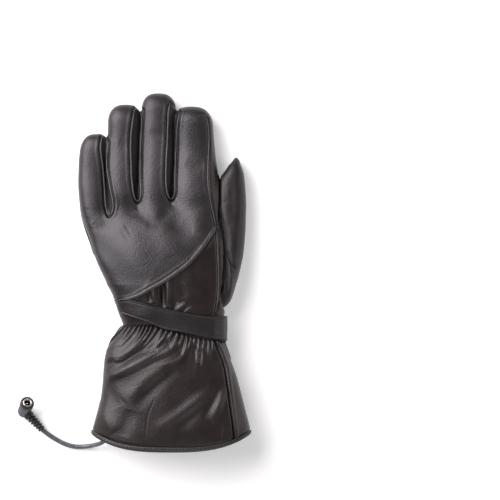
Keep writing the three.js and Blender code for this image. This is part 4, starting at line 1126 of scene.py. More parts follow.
class HandShell:
    """The hand's skin cut along its sewing lines into leather panels."""

    def __init__(self, form: HandForm, finishes: Finishes) -> None:
        """Takes the forms and the finishes."""
        self.form = form
        self.finishes = finishes
        self.hand = form.hand()
        self.thumb = form.thumb()
        self.index = form.finger(form.fingers[3])
        self.gaps = {name: gap_outline(*sides) for name, sides in FINGER_GAPS.items()}
        self.index_side = smooth_line(INDEX_SIDE)
        self.welt = smooth_line(WELT)
        self.keyhole = smooth_line(KEYHOLE)
        self.tree: Optional[BVHTree] = None

    def thumb_side(self, places: Array) -> Array:
        """Positive on the thumb, negative on the hand and index finger."""
        rest = np.minimum(self.hand.outside(places), self.index.outside(places))
        value = rest - self.thumb.outside(places)
        return np.where(places[:, 0] < 30, -10.0, value)

    def over_seam(self, places: Array) -> Array:
        """Height above the palm seam."""
        return places[:, 2] - palm_seam_height(places[:, 1])

    def past_cap(self, places: Array) -> Array:
        """Positive on the ends of the fingers."""
        best = np.full(len(places), -50.0)
        for row in self.form.fingers:
            near = np.abs(places[:, 0] - row.middle(places[:, 1])) < row.width * 0.56
            value = places[:, 1] - (row.tip[1] - CAP_LENGTH)
            best = np.where(near & (value > best), value, best)
        return best

    def past_touch(self, places: Array) -> Array:
        """Positive on the index finger's touch patch."""
        row = self.form.fingers[3]
        value = places[:, 1] - (row.tip[1] - TOUCH_LENGTH)
        return np.where(places[:, 0] > 7.5, value, -50.0)

    @staticmethod
    def by_gusset(places: Array) -> Array:
        """Which places are where the side gusset's seam may run."""
        return (places[:, 1] < GUSSET_TOP) & (places[:, 0] > GUSSET_LEFT)

    def measure(self, name: str, places: Array) -> Array:
        """One sewing line's signed distance at some places.

        Args:
            name: The line's name.
            places: The places.

        Returns:
            The distances; positive above the palm seam, on the thumb, past a cap, inside an outline, on the
            hand's side of the index side seam and above the welt.
        """
        outlines = {**self.gaps, "keyhole": self.keyhole}
        if name in outlines:
            return inside_outline(places, outlines[name])
        lines = {"gusset": self.index_side, "welt": self.welt}
        if name in lines:
            return beside_line(places, lines[name])[0]
        ways = {
            "over_seam": self.over_seam, "thumb": self.thumb_side, "cap": self.past_cap,
            "touch": self.past_touch,
        }
        return ways[name](places)

    def fields(self, places: Array) -> Dict[str, Array]:
        """Every sewing line's signed distance at some places."""
        names = [*self.gaps, "over_seam", "thumb", "cap", "touch", "gusset", "welt", "keyhole"]
        return {name: self.measure(name, places) for name in names}

    def cut(self, mesh: bpy.types.Mesh) -> None:
        """Cuts the skin along the wrist and every sewing line.

        Args:
            mesh: The skin, which is changed.
        """
        bm = bmesh.new()
        bm.from_mesh(mesh)
        where = vert_places(bm)
        cut_along(bm, where[:, 1] - wrist_line(where[:, 0]), where[:, 1] < -20)
        centres = to_plan(np.array([face.calc_center_median()[:] for face in bm.faces]))
        beyond = (centres[:, 1] < wrist_line(centres[:, 0])).tolist()
        away = [face for face, gone in zip(bm.faces, beyond) if gone]
        bmesh.ops.delete(bm, geom=away, context="FACES")

        def apply(name: str, mask: Mask) -> None:
            """Cuts along one line where its mask allows it."""
            where = vert_places(bm)
            known = partial(self.measure, places=where)
            cut_along(bm, known(name), mask(known, where))

        near = 0.05
        apply("thumb", lambda f, p: p[:, 0] > THUMB_LEFT)
        apply("over_seam", lambda f, p: f("thumb") < near)
        for name in self.gaps:
            apply(name, lambda f, p: f("over_seam") > -near)
        apply("gusset", lambda f, p: (f("over_seam") > -near) & (f("thumb") < near) & self.by_gusset(p))
        apply("welt", lambda f, p: (f("over_seam") > -near) & (p[:, 1] < WELT_TOP))
        apply("keyhole", lambda f, p: (f("over_seam") < near) & (f("thumb") < near))
        apply("cap", lambda f, p: (f("over_seam") < near) & (p[:, 1] > 100) & (f("cap") > -40))
        apply("touch", lambda f, p: (f("over_seam") < near) & (p[:, 0] > 8))
        welded(bm, 1e-5)
        bm.to_mesh(mesh)
        bm.free()

    def labels(self, mesh: bpy.types.Mesh) -> Array:
        """The panel that each face belongs to."""
        places = to_plan(vectors_of(mesh.polygons, "center"))
        f = self.fields(places)
        over = f["over_seam"] > 0
        label = np.where(over, "back_panel", "palm_panel").astype("<U24")
        label[over & (f["welt"] < 0) & (places[:, 1] < WELT_TOP)] = "lower_back_panel"
        label[~over & (f["touch"] > 0)] = "touch_patch"
        label[~over & (f["cap"] > 0)] = "back_panel"
        label[over & (f["gusset"] < 0) & self.by_gusset(places)] = "side_gusset"
        for name in self.gaps:
            label[over & (f[name] > 0)] = "fourchette_" + name
        label[~over & (f["keyhole"] > 0)] = "thumb"
        label[f["thumb"] > 0] = "thumb"
        return label

    def relief(self, places: Array, normals: Array) -> Tuple[Array, Array, Array]:
        """Sewing lines, creases and padding.

        Args:
            places: The skin's vertices.
            normals: Their normals.

        Returns:
            The moved vertices, how much of a seam is at each, and how much of a worn edge.
        """
        f = self.fields(places)
        up = normals[:, 2]
        over = smoothstep(f["over_seam"], -0.5, 0.5)
        height = np.zeros(len(places))
        seam = np.zeros(len(places))
        lines = [
            ("over_seam", (f["thumb"] < 0) & (f["cap"] < 1.0), 0.8),
            ("gusset", (f["over_seam"] > 0) & (f["thumb"] < 0) & self.by_gusset(places), 0.9),
            ("thumb", places[:, 0] > THUMB_LEFT, 1.5),
            ("keyhole", (f["over_seam"] < 0) & (f["thumb"] < 0), 1.0),
            ("cap", (f["over_seam"] < 0), 0.7),
            ("touch", (f["over_seam"] < 0) & (f["cap"] < 0), 0.6),
            ("welt", (f["over_seam"] > 0) & (places[:, 1] < WELT_TOP), 1.0),
        ]
        for name, mask, depth in lines:
            d = f[name]
            height += mask * depth * (0.35 * bell(np.abs(d) - 2.4, 1.4) - bell(d, 0.95))
            # Painted shade along the bottom of the seam's groove.
            seam = np.maximum(seam, mask * bell(d, 1.1))
        for name, outline in self.gaps.items():
            s = f[name]
            top = (f["over_seam"] > 0) * smoothstep(up, -0.15, 0.25)
            height += top * (0.45 * bell(s + 3.0, 1.5) - 0.9 * bell(s + 1.0, 0.75))
            upper = outline[:, 1].max()
            low_end = 1 - smoothstep(places[:, 1], upper - 26, upper - 8)
            sunk = top * (0.5 + 1.1 * low_end) * smoothstep(s, 0.1, 1.6)
            places = places - np.outer(sunk, (0, 0, 1))
            # Painted shade inside the gaps between fingers and in the groove beside their edges.
            seam = np.maximum(seam, top * smoothstep(s, 0.2, 1.4) * 0.45)
            seam = np.maximum(seam, 0.85 * top * bell(s + 1.0, 0.8))
        for fold in (*HAND_FOLDS, *PALM_FOLDS):
            distance, share = near_line(places, smooth_line(fold.run), fold.width * 2.6)
            facing = up > 0.1 if fold.side is Side.BACK else up < -0.1
            ends = np.sin(math.pi * np.clip(share, 0.0, 1.0)) ** 0.5
            reach = fold.height * bell(distance, fold.width) * ends * facing
            height += reach
            # Painted shade in the creases.
            seam = np.maximum(seam, np.clip(-reach * 0.35, 0, 0.6))
        floor_touch = smoothstep(places[:, 2], 0.3, 4.0)
        height += 0.24 * ripple(places, 34, 3) * floor_touch
        height += 0.035 * ripple(places, 12, 5) * floor_touch
        moved = places + normals * height[:, None]
        moved[:, 2] = np.maximum(moved[:, 2], 0.02)
        # Painted highlight on the raised parts above the palm seam.
        edge = np.clip(height, 0, 0.6) * over * 0.3
        return moved, seam, edge

    def build(self) -> None:
        """Makes the panels."""
        mesh = self.form.skin()
        self.cut(mesh)
        label = self.labels(mesh)
        places = to_plan(vectors_of(mesh.vertices, "co"))
        moved, seam, edge = self.relief(places, vectors_of(mesh.vertex_normals, "vector"))
        set_places(mesh, moved)
        set_attribute(mesh, "seam", seam)
        set_attribute(mesh, "edge", edge)
        bm = bmesh.new()
        bm.from_mesh(mesh)
        self.tree = BVHTree.FromBMesh(bm)
        bm.free()
        looks = {
            "lower_back_panel": (self.finishes.lower, "leather"),
            "touch_patch": (self.finishes.touch, "touch_leather"),
            "side_gusset": (self.finishes.lower, "side_leather"),
            "thumb": (self.finishes.thumb, "leather"),
        }
        for name in sorted(set(label.tolist())):
            panel = bmesh.new()
            panel.from_mesh(mesh)
            panel.faces.ensure_lookup_table()
            others = [panel.faces[i] for i in np.nonzero(label != name)[0]]
            bmesh.ops.delete(panel, geom=others, context="FACES")
            piece = new_object(name + "_skin", panel)
            look, slot = looks.get(name, (self.finishes.leather, "leather"))
            if name.startswith("fourchette"):
                look, slot = self.finishes.side, "side_leather"
            thickened(piece, 1.4)
            finished(piece, (look, self.finishes.lining), slot, name)
        bpy.data.meshes.remove(mesh)

    def on_surface(self, place: Plan, side: Side) -> Tuple[Array, Array]:
        """Where a plan place lies on the skin.

        Args:
            place: The plan place.
            side: The face of the glove it is on.

        Returns:
            The place and the normal there, in plan millimetres.
        """
        x, y = to_frame(np.array([place[0], place[1], 0.0]))[:2]
        down = side is Side.BACK
        start = Vector((x, y, 0.2 if down else -0.2))
        hit, normal, _, _ = self.tree.ray_cast(start, Vector((0, 0, -1 if down else 1)))
        if hit is None:
            hit, normal, _, _ = self.tree.find_nearest(Vector((x, y, 0.02)))
        return to_plan(np.array(hit)), np.array(normal)


def draped(line: Array, shell: HandShell, side: Side, lift: float = 0.0) -> Tuple[Array, Array]:
    """Lays a plan line on the skin.

    Args:
        line: The plan line.
        shell: The hand.
        side: The face it is on.
        lift: How far above the skin it lies.

    Returns:
        Its places and the normals, smoothed along it.
    """
    found = [shell.on_surface(tuple(p[:2]), side) for p in line]
    places = eased(np.array([p for p, _ in found]), 4)
    normals = unit(eased(np.array([n for _, n in found]), 4))
    return places + normals * lift, normals


def tube(
    places: Array, normals: Array, wide: Array, high: Array, sides: int
) -> BMesh:
    """Sweeps a rounded section along a line that lies on a surface.

    Args:
        places: The line.
        normals: The surface's normals along it.
        wide: Half the width at each point, across the line.
        high: Half the height at each point, along the normal.
        sides: Points around it.

    Returns:
        The closed tube.
    """
    across = unit(np.cross(unit(np.gradient(places, axis=0)), normals))
    angle = 2 * math.pi * np.arange(sides) / sides
    rings = []
    for i, place in enumerate(places):
        sideways = wide[i] * np.outer(np.cos(angle), across[i])
        rings.append(place + sideways + high[i] * np.outer(np.sin(angle), normals[i]))
    return loft(rings)


def tapered(count: int, size: float, ends: int) -> Array:
    """A size that closes gently over a few points at both ends of a run."""
    i = np.arange(count)
    near = np.minimum(i, count - 1 - i) / ends
    return size * np.sqrt(np.clip(0.12 + near, 0.12, 1))


@dataclass
class Stitching:
    """A row of sewn stitches along a line that lies on a surface."""

    pitch: float
    length: float
    thick: float

    def into(self, bm: BMesh, places: Array, normals: Array) -> None:
        """Adds the stitches to a mesh.

        Args:
            bm: The mesh that takes them.
            places: The line.
            normals: The surface's normals along it.
        """
        run = run_of(places)
        for start in np.arange(self.pitch / 2, run[-1], self.pitch):
            at, on = read_line(places, run, start), read_line(places, run, start + 0.4)
            up = Vector(read_line(normals, run, start)).normalized()
            ahead = Vector(on - at)
            if ahead.length < 1e-6:
                continue
            ahead = (ahead - up * ahead.dot(up)).normalized()
            turn = Matrix((ahead, up.cross(ahead), up)).transposed().to_4x4()
            size = Matrix.Diagonal((self.length / 2, self.thick / 2, self.thick / 2, 1))
            place = Matrix.Translation(Vector(at) + up * 0.08) @ turn @ size
            bmesh.ops.create_uvsphere(bm, u_segments=6, v_segments=4, radius=1, matrix=place)


# Trim on the hand


@dataclass
class SeamTrim:
    """The turned edges that stand up along the finger walls and the index side, and the diagonal welt."""

    shell: HandShell
    finishes: Finishes
    edge_width: float = 0.8
    welt_width: float = 2.25

    def turned_edges(self) -> None:
        """Makes the turned edges round each gap between two fingers."""
        edges = bmesh.new()
        for left, right in FINGER_GAPS.values():
            line = smooth_line([*left, *right[::-1]], 1.2)
            places, normals = draped(line, self.shell, Side.BACK, 0.3)
            size = tapered(len(places), self.edge_width, 10)
            joined(edges, tube(places, normals, size, size, 8))
        side = smooth_line(INDEX_SIDE[:9], 1.5)
        places, normals = draped(side, self.shell, Side.BACK, 0.35)
        size = tapered(len(places), self.edge_width * 0.8, 10)
        joined(edges, tube(places, normals, size, size, 8))
        placed("turned_edges", edges, self.finishes.edge, "leather")

    def welt(self) -> None:
        """Makes the diagonal welt."""
        line = smooth_line(tuple(WELT[:-1]) + ((-46.0, -26.7),), 1.2)
        places, normals = (eased(found, 40) for found in draped(line, self.shell, Side.BACK, 1.5))
        count = len(places)
        swell = 1 + 0.06 * np.sin(np.arange(count) * 0.9) * np.sin(np.arange(count) * 0.23)
        wide = tapered(count, self.welt_width, 5) * swell
        bm = tube(places, normals, wide, wide * 0.95, 16)
        placed("diagonal_welt", bm, self.finishes.welt, "leather", "welt")


PADS: Dict[str, Line] = {
    "palm_pad_1": ((6.0, 28.0), (-53.3, 25.0), (-52.6, 6.9), (-1.6, 9.8)),
    "palm_pad_2": ((-4.5, 2.8), (-53.3, -1.8), (-52.0, -20.7), (-6.9, -14.3)),
    "palm_pad_3": ((-7.5, -23.6), (-50.9, -28.3), (-49.7, -44.8), (-1.6, -41.2)),
}


@dataclass
class PalmPads:
    """The three stitched pads on the heel of the palm."""

    shell: HandShell
    finishes: Finishes
    height: float = 1.35
    around: int = 120
    inwards: int = 16
    depth: float = 12.0
    corner: float = 3.0
    margin: float = 3.0
    rows: Pair = (2.2, 4.6)

    def build(self) -> None:
        """Makes each pad with two rows of stitches."""
        stitches = bmesh.new()
        for name, corners in PADS.items():
            outline = self.rounded(np.array(corners), self.corner)
            centre = outline.mean(axis=0)
            rings = []
            for j in range(self.inwards + 1):
                share = j / self.inwards
                plan = centre + (outline - centre) * (1 - share)
                inset = share * self.depth
                lift = self.height * math.sin(min(inset / 1.6, 1) * math.pi / 2) ** 0.7
                lift -= 0.45 * bell(inset - self.rows[0], 0.45) + 0.35 * bell(inset - self.rows[1], 0.45)
                rings.append(self._ring(plan, lift))
            rings.insert(0, self._ring(outline, -0.5))
            bm = loft(rings)
            into_frame(bm)
            piece = new_object(name + "_cover", bm)
            finished(piece, (self.finishes.leather,), "leather", name)
            for inset in self.rows:
                plan = centre + (outline - centre) * (1 - inset / self.depth)
                plan = np.vstack([plan, plan[:1]])
                plan[:, 0] = np.maximum(plan[:, 0], self.left_side(plan[:, 1]) + inset)
                places, normals = draped(plan, self.shell, Side.PALM, self.height - 0.45)
                places[:, 2] = np.maximum(places[:, 2], 0.3)
                Stitching(2.4, 1.7, 0.4).into(stitches, places, normals)
        placed("pad_stitches", stitches, self.finishes.thread, "leather")

    def left_side(self, y: Array) -> Array:
        """How far to the left a pad may lie, as x for each y."""
        return np.interp(y, self.shell.hand.y, self.shell.hand.left) + self.margin

    def _ring(self, plan: Array, lift: float) -> Array:
        """One ring of a pad on the skin."""
        points = []
        for p in plan:
            side = float(self.left_side(p[1]))
            x = p[0] if p[0] > side else side + 0.05 * (p[0] - side)
            place, normal = self.shell.on_surface((x, p[1]), Side.PALM)
            point = place + normal * lift
            point[2] = max(point[2], 0.05)
            points.append(point)
        return np.array(points)

    def rounded(self, corners: Array, radius: float) -> Array:
        """An outline with rounded corners.

        Args:
            corners: The corners.
            radius: Of the rounding.

        Returns:
            Evenly spaced points.
        """
        path = []
        around = zip(np.roll(corners, 1, axis=0), corners, np.roll(corners, -1, axis=0))
        for before, corner, after in around:
            start = corner + (before - corner) / np.linalg.norm(before - corner) * radius
            end = corner + (after - corner) / np.linalg.norm(after - corner) * radius
            for t in np.linspace(0, 1, 7):
                path.append((1 - t) ** 2 * start + 2 * t * (1 - t) * corner + t * t * end)
        closed = np.vstack([path, path[:1]])
        run = run_of(closed)
        at = np.linspace(0, run[-1], self.around, endpoint=False)
        return read_line(closed, run, at)


# Cuff


@dataclass
class CuffForm:
    """The gathered gauntlet from the wrist seam to the bound hem."""

    wrist: Pair = WRIST_SIDES
    mouth: Pair = (-67.2, 79.6)
    wrist_heights: Pair = WRIST_HEIGHTS
    mouth_heights: Pair = (-0.6, 52.0)
    length: float = 107.0
    rise: float = 15.0
    binding: float = 4.6
    around: int = 590
    rows: int = 150
    gathered_rows: int = 80
    gathers: float = 52.0

    ROWS = (
        # along, left, right, bottom, top
        (0, 0, 0, 0, 0),
        (0.07, 0.234, 0.092, 0.1, 0.15),
        (0.15, 0.407, 0.213, 0.22, 0.35),
        (0.3, 0.579, 0.41, 0.65, 0.65),
        (0.5, 0.648, 0.62, 1, 0.85),
        (0.7, 0.728, 0.79, 1, 1),
        (0.85, 0.872, 0.91, 1, 1.05),
        (1, 1, 1, 1, 1),
    )
    FOLDS: Sequence[Fold] = (
        Fold(((6.0, -70.8), (-9.7, -76.4), (-24.4, -83.7), (-41.9, -92.9), (-53.0, -98.0)), 4.2, 2.3),
        Fold(((-6.0, -69.0), (-22.0, -74.0), (-38.0, -84.0), (-52.0, -90.0)), 3.4, -1.5),
        Fold(((16.0, -76.0), (-2.3, -89.2), (-25.3, -108.6), (-36.0, -118.0)), 7.0, 1.5),
        Fold(((12.0, -88.0), (-8.0, -104.0), (-26.0, -124.0)), 6.0, -1.4),
        Fold(((46.0, -104.0), (34.5, -115.0), (5.1, -136.2), (-6.0, -142.0)), 5.0, 1.5),
        Fold(((40.0, -118.0), (24.0, -134.0), (12.0, -144.0)), 5.0, -1.0),
        Fold(((56.7, -104.2), (52.0, -118.0), (43.6, -137.4)), 3.2, 1.7),
        Fold(((50.0, -106.0), (45.0, -118.0), (36.0, -134.0)), 3.0, -1.0),
        Fold(((54.9, -142.4), (54.2, -147.0), (53.4, -150.9)), 0.9, 0.5),
        Fold(((-60.0, -100.0), (-50.0, -108.0), (-42.0, -124.0)), 6.0, -1.0),
        Fold(((-58.0, -118.0), (-52.0, -134.0), (-44.0, -146.0)), 7.0, 1.0),
        Fold(((-30.0, -126.0), (-34.0, -140.0), (-36.0, -150.0)), 6.0, -1.0),
        Fold(((34.0, -72.0), (33.6, -80.0), (33.0, -86.0)), 1.4, -0.9),
        Fold(((30.5, -70.0), (31.0, -78.0), (31.5, -84.0)), 1.4, 0.7),
        Fold(((-45.0, -80.0), (-50.0, -84.0), (-56.0, -86.0)), 2.4, -0.9),
    )
    SEAM: Line = (
        (46.4, -62.0), (47.6, -66.0), (51.1, -75.4), (55.1, -86.5), (57.5, -100.3), (59.3, -112.2),
        (61.5, -127.9), (63.9, -146.8), (64.5, -158.0),
    )
    FAINT: Line = ((-7.8, -115.9), (-12.0, -125.0), (-14.5, -134.5), (-16.1, -152.4))

    def hem_line(self, x: Array) -> Array:
        """The lower edge, as y for each x."""
        off = np.minimum(np.abs((x - 6.2) / 73.4), 1.1)
        return WRIST_Y - self.length + self.rise * off**3

    @staticmethod
    def under_seam(y: Array) -> Array:
        """The seam under the cuff, as x for each y."""
        return -37.0 - 0.18 * (WRIST_Y - y)

    def reach(self, along: float) -> Tuple[float, float, float, float]:
        """The cuff's left, right, bottom and top at a share of its length."""
        read = [float(column[0]) for column in read_table(self.ROWS, np.array([along]))]
        ends = zip((*self.wrist, *self.wrist_heights), (*self.mouth, *self.mouth_heights), read)
        return tuple(start + (end - start) * share for start, end, share in ends)

    def ring(self, along: float, angles: Array, grow: float = 0.0) -> Array:
        """Points around the cuff.

        Args:
            along: 0 at the wrist seam and 1 at the hem.
            angles: Where around, from the thumb side over the back.
            grow: How far outwards.

        Returns:
            The points.
        """
        x0, x1, z0, z1 = self.reach(along)
        across, up = rounded_square(angles)
        own_x = (x0 + x1) / 2 + (x1 - x0) / 2 * across
        y = wrist_line(own_x) * (1 - along) + self.hem_line(own_x) * along
        x = (x0 + x1) / 2 + ((x1 - x0) / 2 + grow) * across
        z = (z0 + z1) / 2 + ((z1 - z0) / 2 + grow) * up
        return np.column_stack([x, y, z])

    def even_angles(self) -> Array:
        """Angles that space the points evenly round the middle of the cuff."""
        fine = np.linspace(0, 2 * math.pi, 4001)
        run = run_of(self.ring(0.5, fine)[:, [0, 2]])
        return np.interp(np.linspace(0, run[-1], self.around, endpoint=False), run, fine)


class Cuff:
    """The gauntlet's two panels, its bound hem and their stitches."""

    def __init__(self, form: CuffForm, finishes: Finishes) -> None:
        """Takes the form and the finishes."""
        self.form = form
        self.finishes = finishes
        self.angles = form.even_angles()

    def straightened(self, ring: Array, around: Array) -> Array:
        """Places round the cuff that let the pleats on the back start straight down."""
        top = self.form.ring(0.0, self.angles)
        back = (around > 0.02) & (around < 0.48)
        order = np.argsort(top[back, 0])
        plan = np.interp(ring[:, 0], top[back, 0][order], around[back][order])
        share = 0.6 * smoothstep(around, 0.02, 0.08) * (1 - smoothstep(around, 0.34, 0.5))
        return around * (1 - share) + plan * share

    def gather(self, around: Array, along: float) -> Array:
        """The elastic's pleats at one distance from the wrist seam.

        Args:
            around: 0 to 1 round the cuff.
            along: 0 at the wrist seam and 1 at the hem.

        Returns:
            How far each point stands out.
        """
        lean = 0.12 + 0.88 * smoothstep(around, 0.13, 0.34) * (1 - 0.4 * smoothstep(around, 0.55, 0.8))
        drift = around - (0.02 * along + 1.2 * along * along) * lean
        uneven = 0.22 * wave(drift, 5, 1.1) + 0.1 * wave(drift, 11, 0.4)
        phase = self.form.gathers * drift + uneven
        ridge = 0.62 - 1.75 * np.abs(np.sin(math.pi * phase)) ** 3.5
        half_phase = phase / 3 + 0.25 * wave(drift, 4, 0.6)
        broad = 0.6 - 1.5 * np.abs(np.sin(math.pi * half_phase)) ** 2.4
        reach = 0.1 + 0.025 * wave(drift, 9, 2) + 0.03 * wave(drift, 23)
        side = 0.35 + 0.65 * smoothstep(around, 0.02, 0.2)
        start = 0.4 + 0.6 * float(smoothstep(along, 0.0, 0.015))
        grown = float(smoothstep(along, 0.03, 0.13))
        near = bell(along / reach, 0.85)
        far = bell(along / (reach * 1.9), 1.0) * grown
        lively = 0.85 + 0.25 * wave(drift, 13) * wave(drift, 21, 1)
        thumbwards = 0.35 + 0.65 * smoothstep(around, 0.1, 0.2)
        return side * lively * (1.65 * start * near * ridge + 1.7 * thumbwards * far * broad)

    def sheet(self) -> Tuple[List[Array], Array, Array]:
        """The cuff's outer surface with its gathers and folds.

        Returns:
            Its rings, and how much painted shade and painted highlight is at each point.
        """
        form = self.form
        end = 1 - form.binding * 0.9 / form.length
        gathered = np.linspace(0, 0.3, form.gathered_rows, endpoint=False)
        plain = np.linspace(0.3, end, form.rows - form.gathered_rows)
        around = np.arange(form.around) / form.around
        seam_line = smooth_line(form.SEAM)
        faint_line = smooth_line(form.FAINT)
        folds = [(fold, smooth_line(fold.run, 3.0)) for fold in form.FOLDS]
        rings, groove_shades, edges = [], [], []
        for along in (*gathered, *plain):
            ring = form.ring(along, self.angles)
            middle = np.array([ring[:, 0].mean(), 0, (ring[:, 2].max() + ring[:, 2].min()) / 2])
            on_back = ring[:, 2] > middle[2]
            ahead = np.roll(ring, -1, axis=0) - np.roll(ring, 1, axis=0)
            out = unit(np.column_stack([ahead[:, 2], 0 * ahead[:, 1], -ahead[:, 0]]))
            height = self.gather(self.straightened(ring, around), along)
            for fold, run in folds:
                distance, share = near_line(ring, run, fold.width * 2.6)
                bump = fold.height * bell(distance, fold.width) * np.sin(math.pi * share) ** 0.6
                height = height + on_back * bump
            d = beside_line(ring, seam_line)[0]
            groove = on_back * bell(d, 0.9)
            height += on_back * (1.1 * bell(d + 2.7, 1.5) + 0.3 * bell(d - 2.4, 1.6)) - 1.8 * groove
            faint, share = near_line(ring, faint_line, 4.0)
            faint_groove = on_back * bell(faint, 0.7) * (np.sin(math.pi * share) > 0.02)
            height -= 0.22 * faint_groove
            under = ~on_back & (ring[:, 0] < middle[0])
            lower = under * bell(ring[:, 0] - form.under_seam(ring[:, 1]), 0.9)
            height -= 1.2 * lower
            waist = bell(along * form.length, 1.6)
            height -= 0.7 * waist
            sewn = bell((end - along) * form.length - 0.3, 1.2)
            height -= 0.9 * sewn
            height += 0.35 * ripple(ring, 30, 11) * (1 - sewn)
            moved = ring + out * height[:, None]
            moved[:, 2] = np.maximum(moved[:, 2], 0.03)
            rings.append(moved)
            # Painted shade in the seam grooves, at the wrist seam, along the hem's sewn line and in the
            # hollows of the folds.
            dark = np.maximum(groove, np.maximum(lower, 0.4 * faint_groove))
            groove_shades.append(np.clip(dark + 0.7 * waist + 0.9 * sewn - 0.3 * height, 0, 1))
            # Painted highlight on the raised gathers and folds.
            edges.append(np.clip(height * 0.2, 0, 0.5))
        return rings, np.array(groove_shades), np.array(edges)

    def panels(self) -> None:
        """Makes the two leather panels."""
        rings, groove_shades, edges = self.sheet()
        points = np.array(rings)
        middle_z = (points[:, :, 2].max(axis=1) + points[:, :, 2].min(axis=1)) / 2
        seam_line = smooth_line(self.form.SEAM)
        right = beside_line(points.reshape(-1, 3), seam_line)[0].reshape(points.shape[:2]) < 0
        under = points[:, :, 2] < middle_z[:, None]
        palm = (under & (points[:, :, 0] > self.form.under_seam(points[:, :, 1]))) | (~under & right)
        flat_groove_shade, flat_ridge_highlight, flat_palm = groove_shades.ravel(), edges.ravel(), palm.ravel()
        for name, wanted in (("cuff_back", False), ("cuff_palm", True)):
            bm = loft(rings, capped=False)
            layer = bm.verts.layers.int["point"]
            fewest = 2 if wanted else 3
            away = []
            for face in bm.faces:
                own = sum(bool(flat_palm[vert[layer]]) == wanted for vert in face.verts)
                if own < fewest:
                    away.append(face)
            bmesh.ops.delete(bm, geom=away, context="FACES")
            index = np.array([vert[layer] for vert in bm.verts])
            into_frame(bm)
            piece = new_object(name + "_skin", bm)
            set_attribute(piece.data, "seam", flat_groove_shade[index])
            set_attribute(piece.data, "edge", flat_ridge_highlight[index])
            thickened(piece, 2.2)
            finished(piece, (self.finishes.lower, self.finishes.lining), "leather", name)

    def hem(self) -> None:
        """Makes the binding that is folded over the lower edge, and its stitches."""
        start = 1 - self.form.binding / self.form.length
        turns = np.linspace(0, 2 * math.pi, 20, endpoint=False)
        rings = []
        for angle in turns:
            out = 1.35 * math.cos(angle) - 0.8
            down = -math.sin(angle)
            squash = abs(down) ** 0.6 * math.copysign(1, down)
            along = 1 - self.form.binding / 2 / self.form.length * (1 - squash)
            ring = self.form.ring(along, self.angles, out)
            ring[:, 2] = np.maximum(ring[:, 2], 0.02)
            rings.append(ring)
        rings.append(rings[0])
        bm = loft(rings, capped=False)
        welded(bm, 1e-4)
        placed("hem_binding_fold", bm, self.finishes.binding, "leather", "hem_binding")
        above = self.form.ring(start + 1.2 / self.form.length, self.angles, 0.4)
        line = np.vstack([above, above[:1]])
        outwards = line - np.array([line[:, 0].mean(), 0, 25])
        outwards[:, 1] = 0
        line[:, 2] = np.maximum(line[:, 2], 0.95)
        stitches = bmesh.new()
        Stitching(3.2, 2.0, 0.9).into(stitches, line, unit(outwards))
        placed("hem_stitches", stitches, self.finishes.dark_thread, "leather")


# Strap, patch, tab and clip at the wrist


